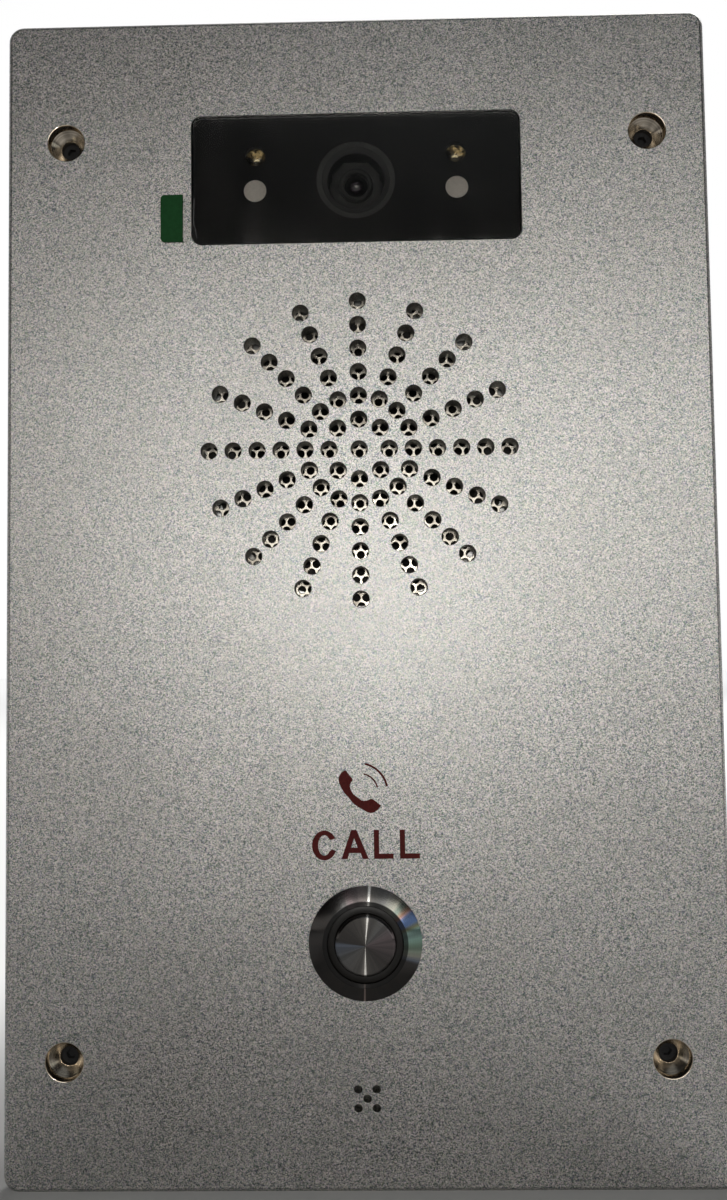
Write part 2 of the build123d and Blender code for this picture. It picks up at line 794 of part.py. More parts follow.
with BuildPart() as speaker_magnet:
    with BuildSketch(level(basket_back)):
        with Locations((0, grille_z)):
            sided_round(magnet_d, hidden_sides)
            sided_hole(basket_bore_d, hidden_sides, mode=Mode.SUBTRACT)
    extrude(amount=-magnet_depth)
save(speaker_magnet, "speaker_magnet")

with BuildPart() as speaker_yoke:
    with BuildSketch(level(magnet_back)):
        with Locations((0, grille_z)):
            sided_round(yoke_d, hidden_sides)
    extrude(amount=-yoke_thickness)
    with BuildSketch(level(basket_back - basket_wall)):
        with Locations((0, grille_z)):
            sided_round(pole_d, hidden_sides)
    extrude(amount=-(basket_wall + magnet_depth))
save(speaker_yoke, "speaker_yoke")

# Call button, housing: a bevelled flange with a flat rim, the barrel, and a recess for the light ring
with BuildPart() as button_housing:
    with BuildSketch(turned_at(0, button_z)):
        with BuildLine():
            Polyline(
                (0, button_flange_back),
                (button_flange_d / 2, button_flange_back),
                (button_flange_d / 2, button_flange_back - button_flange_edge),
                (button_rim_d / 2, button_rim),
                (0, button_rim),
                close=True,
            )
        make_face()
    revolve(axis=axis_at(0, button_z))
    with BuildSketch(level(button_flange_back)):
        with Locations((0, button_z)):
            sided_round(button_barrel_d, hidden_sides)
    extrude(amount=button_flange_back - barrel_end)
    with BuildSketch(level(button_rim)):
        with Locations((0, button_z)):
            Circle(light_ring_d / 2 + thread_clearance)
    extrude(amount=button_rim - light_ring_back, mode=Mode.SUBTRACT)
    with BuildSketch(level(light_ring_back)):
        with Locations((0, button_z)):
            sided_hole(button_bore_d, hidden_sides)
    extrude(amount=light_ring_back - barrel_end, mode=Mode.SUBTRACT)
save(button_housing, "button_housing")

with BuildPart() as button_seal:
    with BuildSketch(level(button_flange_back)):
        with Locations((0, button_z)):
            sided_round(button_barrel_d + 2 * button_seal_width, hidden_sides)
            sided_hole(button_barrel_d + 2 * thread_clearance, hidden_sides, mode=Mode.SUBTRACT)
    extrude(amount=-button_seal_thickness)
save(button_seal, "button_seal")

with BuildPart() as button_nut:
    with BuildSketch(level(0)):
        with Locations((0, button_z)):
            RegularPolygon(button_nut_across_flats / 2, nut_sides, major_radius=False)
            sided_hole(button_barrel_d + 2 * thread_clearance, hidden_sides, mode=Mode.SUBTRACT)
    extrude(amount=-button_nut_thickness)
save(button_nut, "button_nut")

with BuildPart() as button_light_ring:
    with BuildSketch(level(light_ring_front)):
        with Locations((0, button_z)):
            Circle(light_ring_d / 2)
            Circle(cap_d / 2 + running_clearance, mode=Mode.SUBTRACT)
    extrude(amount=-light_ring_depth)
save(button_light_ring, "button_light_ring")

# Call button, what moves: the cap with its collar behind the light ring, and the plunger
with BuildPart() as button_actuator:
    with BuildSketch(turned_at(0, button_z)):
        with BuildLine():
            Polyline(
                (0, cap_front),
                (cap_d / 2 - cap_chamfer, cap_front),
                (cap_d / 2, cap_front + cap_chamfer),
                (cap_d / 2, light_ring_back),
                (collar_d / 2, light_ring_back),
                (collar_d / 2, collar_back),
                (0, collar_back),
                close=True,
            )
        make_face()
    revolve(axis=axis_at(0, button_z))
save(button_actuator, "button_actuator")

with BuildPart() as button_plunger:
    with BuildSketch(level(collar_back)):
        with Locations((0, button_z)):
            RegularPolygon(plunger_across_flats / 2, grille_sides, major_radius=False)
    extrude(amount=-plunger_length)
save(button_plunger, "button_plunger")

# Return spring between the collar and the base, wound from square wire in short straight lengths
spring_length = guide_face - collar_back
spring_points = spring_turns * spring_bends
with BuildPart() as button_spring:
    with BuildLine():
        coil = Polyline(
            *[
                (
                    spring_mean_d / 2 * cos(2 * pi * bend / spring_bends),
                    collar_back + spring_end + (spring_length - 2 * spring_end) * bend / spring_points,
                    button_z + spring_mean_d / 2 * sin(2 * pi * bend / spring_bends),
                )
                for bend in range(spring_points + 1)
            ]
        )
    with BuildSketch(Plane(origin=coil @ 0, x_dir=(1, 0, 0), z_dir=coil % 0)):
        Rectangle(spring_wire, spring_wire)
    sweep(path=coil, transition=Transition.RIGHT)
save(button_spring, "button_spring")

with BuildPart() as button_base:
    with BuildSketch(level(guide_face)):
        with Locations((0, button_z)):
            sided_round(button_bore_d, hidden_sides)
    extrude(amount=guide_face - barrel_end)
    with BuildSketch(level(barrel_end)):
        with Locations((0, button_z)):
            sided_round(base_d, hidden_sides)
    extrude(amount=-base_depth)
    with BuildSketch(level(guide_face)):
        with Locations((0, button_z)):
            RegularPolygon(plunger_across_flats / 2 + running_clearance, grille_sides, major_radius=False)
    extrude(amount=guide_face - collar_back - plunger_length - button_end_room, mode=Mode.SUBTRACT)
save(button_base, "button_base")

with BuildPart() as button_terminals:
    with Locations((0, base_back, button_z)):
        with GridLocations(terminal_blade_spacing, 0, terminal_blades, 1):
            Box(terminal_blade_width, terminal_blade_length, terminal_blade_thickness, align=PLATE)
save(button_terminals, "button_terminals")

# Microphone: membrane on the panel's rear, boot and capsule
boot_back_inside = membrane_thickness + boot_lip + capsule_depth
with BuildPart() as microphone_membrane:
    with BuildSketch(level(0)):
        with Locations((0, microphone_z)):
            sided_round(membrane_d, hidden_sides)
    extrude(amount=-membrane_thickness)
save(microphone_membrane, "microphone_membrane")

with BuildPart() as microphone_boot:
    with BuildSketch(level(membrane_thickness)):
        with Locations((0, microphone_z)):
            sided_round(boot_d, hidden_sides)
    extrude(amount=membrane_thickness - boot_back_inside - boot_back)
    with BuildSketch(level(membrane_thickness)):
        with Locations((0, microphone_z)):
            sided_hole(boot_mouth_d, hidden_sides)
    extrude(amount=-boot_lip, mode=Mode.SUBTRACT)
    with BuildSketch(level(membrane_thickness + boot_lip)):
        with Locations((0, microphone_z)):
            sided_hole(capsule_d + 2 * capsule_clearance, hidden_sides)
    extrude(amount=-capsule_depth, mode=Mode.SUBTRACT)
save(microphone_boot, "microphone_boot")

with BuildPart() as microphone_capsule:
    with BuildSketch(level(membrane_thickness + boot_lip)):
        with Locations((0, microphone_z)):
            sided_round(capsule_d, hidden_sides)
    extrude(amount=-capsule_depth)
save(microphone_capsule, "microphone_capsule")

# Main board and its pillars
with BuildPart() as board_standoffs:
    with BuildSketch(level(0)):
        with Locations((0, board_z)):
            with GridLocations(board_hole_spacing_x, board_hole_spacing_z, 2, 2):
                RegularPolygon(standoff_across_flats / 2, nut_sides, major_radius=False)
    extrude(amount=-board_front)
    with BuildSketch(level(0)):
        with Locations((0, board_z)):
            with GridLocations(board_hole_spacing_x, board_hole_spacing_z, 2, 2):
                sided_hole(stud_d + 2 * thread_clearance, fastener_sides)
    extrude(amount=-standoff_bore_depth, mode=Mode.SUBTRACT)
    with BuildSketch(level(board_front)):
        with Locations((0, board_z)):
            with GridLocations(board_hole_spacing_x, board_hole_spacing_z, 2, 2):
                sided_hole(stud_d + 2 * thread_clearance, fastener_sides)
    extrude(amount=standoff_bore_depth, mode=Mode.SUBTRACT)
save(board_standoffs, "board_standoffs")

with BuildPart() as main_board:
    with BuildSketch(level(board_front)):
        with Locations((0, board_z)):
            Rectangle(board_width, board_height)
            with GridLocations(board_hole_spacing_x, board_hole_spacing_z, 2, 2):
                sided_hole(board_clearance_d, fastener_sides, mode=Mode.SUBTRACT)
    extrude(amount=-board_thickness)
save(main_board, "main_board")

with BuildPart() as spacer_standoffs:
    with BuildSketch(level(board_back)):
        with Locations((0, board_z)):
            with GridLocations(board_hole_spacing_x, board_hole_spacing_z, 2, 2):
                RegularPolygon(standoff_across_flats / 2, nut_sides, major_radius=False)
    extrude(amount=-spacer_length)
    with BuildSketch(level(board_back)):
        with Locations((0, board_z)):
            with GridLocations(board_hole_spacing_x, board_hole_spacing_z, 2, 2):
                sided_round(stud_d, fastener_sides)
    extrude(amount=board_thickness + spacer_screw_length)
    with BuildSketch(level(housing_inside)):
        with Locations((0, board_z)):
            with GridLocations(board_hole_spacing_x, board_hole_spacing_z, 2, 2):
                sided_hole(stud_d + 2 * thread_clearance, fastener_sides)
    extrude(amount=housing_screw_length + screw_bore_margin - housing_wall, mode=Mode.SUBTRACT)
save(spacer_standoffs, "spacer_standoffs")

# Parts on the main board's rear
with BuildPart() as processor:
    with Locations((processor_x, board_back, processor_z)):
        Box(processor_side, processor_thickness, processor_side, align=PLATE)
save(processor, "processor")

with BuildPart() as processor_shield:
    with Locations((processor_x, board_back, processor_z)):
        Box(shield_width, shield_depth, shield_height, align=PLATE)
        Box(
            shield_width - 2 * shield_wall,
            shield_depth - shield_wall,
            shield_height - 2 * shield_wall,
            align=PLATE,
            mode=Mode.SUBTRACT,
        )
save(processor_shield, "processor_shield")

jack_back = board_back + jack_reach
socket_floor = jack_back - jack_socket_depth
with BuildPart() as network_jack:
    with Locations((jack_x, board_back, jack_z)):
        Box(jack_width, jack_reach, jack_height, align=PLATE)
    with Locations((jack_x, socket_floor, jack_z)):
        Box(jack_socket_width, jack_socket_depth, jack_socket_height, align=PLATE, mode=Mode.SUBTRACT)
save(network_jack, "network_jack")

with BuildPart() as jack_contacts:
    with Locations((jack_x, socket_floor, jack_z + jack_socket_height / 2)):
        with GridLocations(contact_pitch, 0, contact_count, 1):
            Box(
                contact_width,
                contact_length,
                contact_thickness,
                align=(Align.CENTER, Align.MIN, Align.MAX),
            )
save(jack_contacts, "jack_contacts")

terminal_back = board_back + terminal_reach
with BuildPart() as terminal_block:
    with Locations((terminal_x, board_back, terminal_z)):
        Box(terminal_pitch * terminal_ways, terminal_reach, terminal_height, align=PLATE)
    with Locations((terminal_x, terminal_back - terminal_entry_depth, terminal_z - terminal_entry_drop)):
        with GridLocations(terminal_pitch, 0, terminal_ways, 1):
            Box(terminal_entry, terminal_entry_depth, terminal_entry, align=PLATE, mode=Mode.SUBTRACT)
    with BuildSketch(level(terminal_back)):
        with Locations((terminal_x, terminal_z + terminal_screw_rise)):
            with GridLocations(terminal_pitch, 0, terminal_ways, 1):
                sided_hole(terminal_screw_d + 2 * thread_clearance, fastener_sides)
    extrude(amount=2 * terminal_screw_depth, mode=Mode.SUBTRACT)
save(terminal_block, "terminal_block")

with BuildPart() as terminal_screws:
    with BuildSketch(level(terminal_back - terminal_screw_depth)):
        with Locations((terminal_x, terminal_z + terminal_screw_rise)):
            with GridLocations(terminal_pitch, 0, terminal_ways, 1):
                sided_round(terminal_screw_d, fastener_sides)
    extrude(amount=terminal_screw_depth)
save(terminal_screws, "terminal_screws")

with BuildPart() as relay:
    with Locations((relay_x, board_back, relay_z)):
        Box(relay_width, relay_depth, relay_height, align=PLATE)
save(relay, "relay")

with BuildPart() as transformer:
    with Locations((transformer_x, board_back, transformer_z)):
        Box(transformer_width, transformer_depth, transformer_height, align=PLATE)
save(transformer, "transformer")

with BuildPart() as capacitors:
    with BuildSketch(level(board_back)):
        with Locations((capacitor_x, capacitor_z)):
            with GridLocations(capacitor_pitch, 0, capacitor_count, 1):
                sided_round(capacitor_d, grille_sides)
    extrude(amount=-capacitor_depth)
save(capacitors, "capacitors")

# Rear housing: tray with screw holes, openings for the socket and the terminals, and vents
with BuildPart() as rear_housing:
    with BuildSketch(level(0)):
        outside = Rectangle(housing_width, housing_height)
        chamfer(outside.vertices(), housing_corner)
    extrude(amount=-housing_back)
    with BuildSketch(level(0)):
        inside = Rectangle(housing_width - 2 * housing_wall, housing_height - 2 * housing_wall)
        chamfer(inside.vertices(), housing_corner - housing_wall)
    extrude(amount=-housing_inside, mode=Mode.SUBTRACT)
    with BuildSketch(level(housing_inside)):
        with Locations((0, board_z)):
            with GridLocations(board_hole_spacing_x, board_hole_spacing_z, 2, 2):
                sided_hole(board_clearance_d, fastener_sides)
        with Locations((jack_x, jack_z)):
            Rectangle(jack_width + 2 * housing_opening_clearance, jack_height + 2 * housing_opening_clearance)
        with Locations((terminal_x, terminal_z)):
            Rectangle(
                terminal_pitch * terminal_ways + 2 * housing_opening_clearance,
                terminal_height + 2 * housing_opening_clearance,
            )
        with Locations((0, vent_z)):
            with GridLocations(0, vent_pitch, 1, vent_count):
                Rectangle(vent_length, vent_width)
    extrude(amount=-housing_wall, mode=Mode.SUBTRACT)
save(rear_housing, "rear_housing")

with BuildPart() as housing_screws:
    with BuildSketch(level(housing_back)):
        with Locations((0, board_z)):
            with GridLocations(board_hole_spacing_x, board_hole_spacing_z, 2, 2):
                sided_round(housing_screw_head_d, fastener_sides)
    extrude(amount=-housing_screw_head)
    with BuildSketch(level(housing_back)):
        with Locations((0, board_z)):
            with GridLocations(board_hole_spacing_x, board_hole_spacing_z, 2, 2):
                sided_round(stud_d, fastener_sides)
    extrude(amount=housing_screw_length)
save(housing_screws, "housing_screws")
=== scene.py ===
"""Dresses the video door station: its camera, studio light, finishes and finely shaped pieces."""

import logging
import math
from dataclasses import dataclass
from enum import Enum
from typing import Optional, Sequence

import bmesh
import bpy
from mathutils import Matrix, Vector

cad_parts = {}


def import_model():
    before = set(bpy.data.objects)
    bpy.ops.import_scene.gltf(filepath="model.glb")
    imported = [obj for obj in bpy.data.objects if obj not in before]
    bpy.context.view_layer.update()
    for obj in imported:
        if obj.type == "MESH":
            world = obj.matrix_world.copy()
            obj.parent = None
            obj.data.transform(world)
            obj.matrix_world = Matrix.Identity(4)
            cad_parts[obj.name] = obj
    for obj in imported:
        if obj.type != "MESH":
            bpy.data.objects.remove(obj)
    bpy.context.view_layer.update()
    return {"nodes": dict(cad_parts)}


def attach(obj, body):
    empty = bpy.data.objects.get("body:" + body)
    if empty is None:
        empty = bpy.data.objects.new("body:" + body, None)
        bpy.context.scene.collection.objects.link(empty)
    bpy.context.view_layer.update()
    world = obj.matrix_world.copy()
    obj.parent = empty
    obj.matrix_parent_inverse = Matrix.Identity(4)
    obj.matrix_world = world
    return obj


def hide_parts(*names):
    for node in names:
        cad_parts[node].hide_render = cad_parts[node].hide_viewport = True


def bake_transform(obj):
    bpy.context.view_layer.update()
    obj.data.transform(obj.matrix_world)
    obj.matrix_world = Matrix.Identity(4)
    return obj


log = logging.getLogger("door_station")

METRE = 0.001
LEVEL_NORMAL = 0.99999
SHARP_TURN = math.radians(35.0)
NOISE_MIDDLE = (0.3, 0.7)
EASE_BEND = 0.3
WELD = 1e-4
STATION = "station"
CALL_BUTTON = "call_button"

Point = tuple[float, float]
Triple = tuple[float, float, float]
Colour = tuple[float, float, float]
Socket = bpy.types.NodeSocket
Material = bpy.types.Material
Finishes = dict[str, Material]
Edges = list[bmesh.types.BMEdge]
Size = tuple[float, float, float]


class Axis(Enum):
    """The frame's axes that this scene uses, as unit vectors."""

    BACKWARDS = (0.0, 1.0, 0.0)
    UP = (0.0, 0.0, 1.0)


def grey(level: float) -> Colour:
    """A neutral colour of that level."""
    return (level, level, level)


class Wiring:
    """A tree of shader nodes, with short names for the nodes that the finishes and the surroundings use."""

    def __init__(self, tree: bpy.types.NodeTree) -> None:
        """Takes the tree to work in."""
        self.tree = tree

    def add(self, kind: str, inputs: dict, **settings: object) -> bpy.types.Node:
        """Adds a node.

        Args:
            kind: the node's type, without its ShaderNode prefix.
            inputs: a value or a socket for each input, by name or index.
            settings: the node's own options.

        Returns:
            The node.
        """
        node = self.tree.nodes.new("ShaderNode" + kind)
        for name, value in settings.items():
            setattr(node, name, value)
        for name, value in inputs.items():
            self.feed(node.inputs[name], value)
        return node

    def feed(self, entry: Socket, value: object) -> None:
        """Links a socket to an input, or writes a plain value there."""
        if isinstance(value, bpy.types.NodeSocket):
            self.tree.links.new(value, entry)
        elif entry.type == "RGBA" and len(value) == 3:
            entry.default_value = (*value, 1.0)
        else:
            entry.default_value = value

    def maths(self, operation: str, first: object, second: object = 0.0) -> Socket:
        """The result of a Math node."""
        return self.add("Math", {0: first, 1: second}, operation=operation).outputs[0]

    def range(
        self, value: Socket, low: float, high: float, to_low: float = 0.0, to_high: float = 1.0
    ) -> Socket:
        """A value carried smoothly from one range to another, and held inside it."""
        values = {"Value": value, "From Min": low, "From Max": high, "To Min": to_low, "To Max": to_high}
        return self.add("MapRange", values, interpolation_type="SMOOTHSTEP").outputs[0]

    def blend(self, share: object, first: object, second: object) -> Socket:
        """Two colours blended by a share."""
        node = self.add("Mix", {}, data_type="RGBA")
        for index, value in ((0, share), (6, first), (7, second)):
            self.feed(node.inputs[index], value)
        return node.outputs[2]

    def along(self, direction: Socket, towards: Sequence[float]) -> Socket:
        """How far a direction points towards another."""
        node = self.add("VectorMath", {0: direction, 1: tuple(towards)}, operation="DOT_PRODUCT")
        return node.outputs["Value"]

    def seen(self) -> Socket:
        """One where the camera, metal or glass sees a background, and none where it only lights."""
        rays = self.add("LightPath", {}).outputs
        shiny = self.maths("MAXIMUM", rays["Is Glossy Ray"], rays["Is Transmission Ray"])
        return self.maths("MAXIMUM", rays["Is Camera Ray"], shiny)


class Recipe(Wiring):
    """One material in the making."""

    def __init__(self, name: str) -> None:
        """Starts a material that holds only the shader and its output."""
        self.material = bpy.data.materials.new(name)
        self.material.use_nodes = True
        super().__init__(self.material.node_tree)
        self.shader = self.tree.nodes["Principled BSDF"]

    def surface(self, **values: object) -> None:
        """Sets the shader's inputs, with underscores for the spaces in their names."""
        for name, value in values.items():
            self.feed(self.shader.inputs[name.replace("_", " ")], value)

    def place(
        self, centre: Point = (0.0, 0.0), scale: Sequence[float] = (1.0, 1.0, 1.0), turn: float = 0.0
    ) -> Socket:
        """Object coordinates.

        Args:
            centre: the point in millimetres, across and up, that becomes the pattern's origin.
            scale: the pattern's stretch along each axis.
            turn: the pattern's turn about the front's normal, in degrees.

        Returns:
            The vector socket.
        """
        coordinates = self.add("TexCoord", {})
        shift = (-centre[0] * METRE, 0.0, -centre[1] * METRE)
        moved = self.add("Mapping", {"Vector": coordinates.outputs["Object"], "Location": shift})
        bearing = {"Rotation": (0.0, math.radians(turn), 0.0), "Scale": tuple(scale)}
        return self.add("Mapping", {"Vector": moved.outputs[0], **bearing}).outputs[0]

    def noise(self, at: Socket, grain: float, detail: float = 2.0, roughness: float = 0.5) -> Socket:
        """Soft noise with features of that grain, in millimetres."""
        values = {"Vector": at, "Scale": 1.0 / (grain * METRE), "Detail": detail, "Roughness": roughness}
        return self.add("TexNoise", values).outputs["Fac"]

    def noise_along(self, at: Socket, scale: float, detail: float = 2.0) -> Socket:
        """Noise that varies along one number only."""
        values = {"W": at, "Scale": scale, "Detail": detail}
        return self.add("TexNoise", values, noise_dimensions="1D").outputs["Fac"]

    def full(self, noise: Socket, low: float = 0.0, high: float = 1.0) -> Socket:
        """Noise, which seldom leaves its middle, carried to a whole range."""
        return self.range(noise, *NOISE_MIDDLE, low, high)

    def cells(self, at: Socket, grain: float) -> Socket:
        """The distance within cells of that grain, in millimetres."""
        return self.add("TexVoronoi", {"Vector": at, "Scale": 1.0 / (grain * METRE)}).outputs["Distance"]

    def speckle(self, at: Socket, grain: float) -> tuple[Socket, Socket]:
        """A random level and a random colour for each cell of that grain, in millimetres."""
        colour = self.add("TexVoronoi", {"Vector": at, "Scale": 1.0 / (grain * METRE)}).outputs["Color"]
        return self.add("SeparateColor", {"Color": colour}).outputs[0], colour

    def ramp(self, value: Socket, stops: Sequence[tuple[float, Colour]]) -> Socket:
        """A colour for each value.

        Args:
            value: the factor.
            stops: places from 0 to 1, each with its colour.

        Returns:
            The colour socket.
        """
        node = self.add("ValToRGB", {"Fac": value})
        while len(node.color_ramp.elements) < len(stops):
            node.color_ramp.elements.new(0.5)
        for element, (place, colour) in zip(node.color_ramp.elements, stops):
            element.position = place
            element.color = (*colour, 1.0)
        return node.outputs["Color"]

    def bump(
        self, height: Socket, depth: float, strength: float = 1.0, under: Optional[Socket] = None
    ) -> Socket:
        """A bumped normal.

        Args:
            height: the height, from 0 to 1.
            depth: what a height of 1 is, in millimetres.
            strength: the share of the bump that shows.
            under: a normal that this one is laid over.

        Returns:
            The normal socket.
        """
        values = {"Height": height, "Distance": depth * METRE, "Strength": strength}
        if under is not None:
            values["Normal"] = under
        return self.add("Bump", values).outputs[0]

    def polar(self, centre: Point) -> tuple[Socket, Socket, Socket]:
        """The radius in millimetres, the angle from 0 to 1 and the outward direction, about a centre."""
        at = self.place(centre)
        parts = self.add("SeparateXYZ", {0: at}).outputs
        flat = self.add("CombineXYZ", {"X": parts["X"], "Z": parts["Z"]}).outputs[0]
        length = self.add("VectorMath", {0: flat}, operation="LENGTH").outputs["Value"]
        outward = self.add("VectorMath", {0: flat}, operation="NORMALIZE").outputs["Vector"]
        angle = self.maths("ARCTAN2", parts["Z"], parts["X"])
        share = self.maths("ADD", self.maths("DIVIDE", angle, 2 * math.pi), 0.5)
        return self.maths("MULTIPLY", length, 1 / METRE), share, outward


@dataclass(frozen=True)
class Finish:
    """What every finish has: a name and a colour."""

    name: str
    colour: Colour

    def scaled(self, share: float, lift: float = 0.0) -> Colour:
        """The finish's colour at a share of its brightness, lifted a little."""
        return tuple(min(level * share + lift, 1.0) for level in self.colour)

    def varied(self, recipe: Recipe, share: Socket, spread: float) -> Socket:
        """The finish's colour, darker and lighter by a spread."""
        return recipe.blend(share, self.scaled(1 - spread), self.scaled(1 + spread))

    def make(self) -> Material:
        """The finished material."""
        recipe = Recipe(self.name)
        self.paint(recipe)
        return recipe.material

    def paint(self, recipe: Recipe) -> None:
        """Wires the finish's own nodes into a recipe."""
        raise NotImplementedError


@dataclass(frozen=True)
class BlastedMetal(Finish):
    """Bead-blasted, anodised metal: a fine grain, partly painted glints, with broad, faint cloudiness."""

    roughness: float = 0.37
    grain: float = 0.18
    cloud: float = 26.0
    sparkle: float = 0.80

    def paint(self, recipe: Recipe) -> None:
        """Wires the finish's own nodes."""
        at = recipe.place()
        dents = recipe.noise(at, self.grain, 2.0, 0.7)
        fleck, hue = recipe.speckle(at, self.grain)
        clump = recipe.noise(at, self.grain * 4, 2.0)
        cloud = recipe.noise(at, self.cloud, 3.0)
        # the sparkle spreads the colour cell by cell: part grain, part painted glints
        tone = self.varied(recipe, fleck, self.sparkle)
        tone = recipe.blend(recipe.range(clump, 0.35, 0.65, 0.0, 0.08), tone, self.scaled(0.55))
        tone = recipe.blend(0.10, tone, hue)
        tone = recipe.blend(recipe.range(cloud, 0.35, 0.65, 0.0, 0.10), tone, (0.34, 0.32, 0.29))
        # painted glints: the brightest cells lifted towards light grey
        tone = recipe.blend(recipe.range(fleck, 0.965, 0.975, 0.0, 0.35), tone, grey(0.80))
        rough = recipe.range(fleck, 0.0, 1.0, self.roughness - 0.07, self.roughness + 0.07)
        normal = recipe.bump(fleck, 0.010, 0.5, recipe.bump(dents, 0.014, 0.6))
        recipe.surface(Base_Color=tone, Metallic=1.0, Roughness=rough, Normal=normal)


class PaintedSheen(Enum):
    """Painted reflections for turned metal, by angle: streaks, sheen colours and painted shade."""

    SLATE = (0.24, 0.28, 0.36)
    SAGE = (0.40, 0.40, 0.34)
    GREEN = (0.30, 0.46, 0.34)
    TEAL = (0.36, 0.58, 0.52)
    OLIVE = (0.24, 0.23, 0.10)
    BLUE = (0.12, 0.20, 0.42)
    COPPER = (0.62, 0.32, 0.20)
    MINT = (0.44, 0.58, 0.48)
    PLUM = (0.24, 0.19, 0.20)
    STEEL = (0.20, 0.20, 0.20)
    SHADE = (0.075, 0.066, 0.062)
    DARK = (0.13, 0.12, 0.11)
    ROSE_HIGHLIGHT = (0.72, 0.56, 0.50)
    STREAK_HIGHLIGHT = (1.0, 0.98, 0.94)


@dataclass(frozen=True)
class TurnedMetal(Finish):
    """Metal finished on a lathe about a centre: fine rings that draw highlights out into streaks.

    The spread and the ring are how far its sectors and rings darken it. The painted sheen is the turn in
    degrees at which each colour of its painted reflection starts, from the right hand side upwards: painted
    highlights, painted shade and sheen colours. Within the rim, a radius in millimetres, the metal is
    darker.
    """

    centre: Point
    roughness: float = 0.14
    groove: float = 0.12
    bands: float = 22.0
    spread: float = 0.45
    anisotropy: float = 1.0
    ring: float = 0.25
    rim: float = 0.0
    painted_sheen: tuple[tuple[float, PaintedSheen], ...] = ()

    def paint(self, recipe: Recipe) -> None:
        """Wires the finish's own nodes."""
        radius, angle, outward = recipe.polar(self.centre)
        rings = recipe.noise_along(radius, 1.0 / self.groove, 3.0)
        sectors = recipe.noise_along(angle, self.bands, 4.0)
        tone = self.colour
        # painted reflection: highlights, shade and sheen colours by angle, which make up nine tenths of the
        # colour
        if self.painted_sheen:
            stops = [((turn + 180.0) / 360.0, sheen_colour.value) for turn, sheen_colour in self.painted_sheen]
            tone = recipe.blend(0.9, tone, recipe.ramp(angle, stops))
        tone = recipe.blend(recipe.range(sectors, 0.42, 0.62, 0.0, self.spread), tone, self.scaled(0.3))
        tone = recipe.blend(recipe.full(rings, 0.0, self.ring), tone, self.scaled(0.5))
        if self.rim:
            inner = recipe.range(radius, self.rim - 0.05, self.rim + 0.05, 0.8, 0.0)
            tone = recipe.blend(inner, tone, self.scaled(0.12))
        rough = recipe.full(rings, self.roughness - 0.03, self.roughness + 0.04)
        normal = recipe.bump(rings, self.groove * 0.06, 0.3)
        recipe.surface(Base_Color=tone, Metallic=1.0, Roughness=rough, Normal=normal, Tangent=outward)
        recipe.surface(Anisotropic=self.anisotropy)


@dataclass(frozen=True)
class PressedMetal(Finish):
    """Pressed or plated metal with rolling marks, small scratches and a dull bloom."""

    roughness: float = 0.32
    stretch: float = 12.0
    stain: Colour = (0.22, 0.19, 0.15)

    def paint(self, recipe: Recipe) -> None:
        """Wires the finish's own nodes."""
        at = recipe.place()
        along = recipe.place(scale=(1.0, 1.0, self.stretch))
        rolled = recipe.noise(along, 1.2, 4.0)
        scratch = recipe.noise(recipe.place(scale=(1.0, 1.0, self.stretch), turn=35.0), 0.5, 2.0)
        bloom = recipe.noise(at, 4.0, 4.0)
        tone = self.varied(recipe, recipe.full(rolled), 0.12)
        tone = recipe.blend(recipe.range(bloom, 0.42, 0.72, 0.0, 0.55), tone, self.stain)
        rough = recipe.full(bloom, self.roughness - 0.08, self.roughness + 0.12)
        normal = recipe.bump(scratch, 0.01, 0.3, recipe.bump(rolled, 0.015, 0.3))
        recipe.surface(Base_Color=tone, Metallic=1.0, Roughness=rough, Normal=normal)


@dataclass(frozen=True)
class Moulded(Finish):
    """Moulded plastic, ceramic or board stock: a fine spark-eroded grain with faint handling marks."""

    roughness: float = 0.5
    grain: float = 0.35
    relief: float = 0.02
    dust: float = 0.12
    gloss: float = 0.5

    def paint(self, recipe: Recipe) -> None:
        """Wires the finish's own nodes."""
        at = recipe.place()
        grain = recipe.noise(at, self.grain, 3.0, 0.6)
        pores = recipe.cells(at, self.grain * 1.6)
        worn = recipe.noise(at, 14.0, 5.0, 0.6)
        tone = self.varied(recipe, recipe.full(grain), 0.10)
        tone = recipe.blend(recipe.range(worn, 0.45, 0.75, 0.0, self.dust), tone, self.scaled(1.5, 0.05))
        rough = recipe.full(worn, self.roughness - 0.08, self.roughness + 0.08)
        normal = recipe.bump(pores, self.relief * 0.6, 0.4, recipe.bump(grain, self.relief, 0.5))
        recipe.surface(Base_Color=tone, Roughness=rough, Normal=normal, Specular_IOR_Level=self.gloss)


@dataclass(frozen=True)
class Foam(Finish):
    """Closed-cell foam, rubber or paper pulp: open pores in the surface and a dull face."""

    pore: float = 0.6
    relief: float = 0.12
    roughness: float = 0.9

    def paint(self, recipe: Recipe) -> None:
        """Wires the finish's own nodes."""
        at = recipe.place()
        pores = recipe.cells(at, self.pore)
        fine = recipe.cells(at, self.pore * 0.4)
        patch = recipe.noise(at, 9.0, 4.0)
        tone = self.varied(recipe, recipe.range(pores, 0.1, 0.6), 0.28)
        tone = recipe.blend(recipe.range(patch, 0.4, 0.7, 0.0, 0.3), tone, self.scaled(1.4))
        rough = recipe.full(patch, self.roughness - 0.1, self.roughness)
        normal = recipe.bump(fine, self.relief * 0.4, 0.4, recipe.bump(pores, self.relief, 0.6))
        recipe.surface(Base_Color=tone, Roughness=rough, Normal=normal)


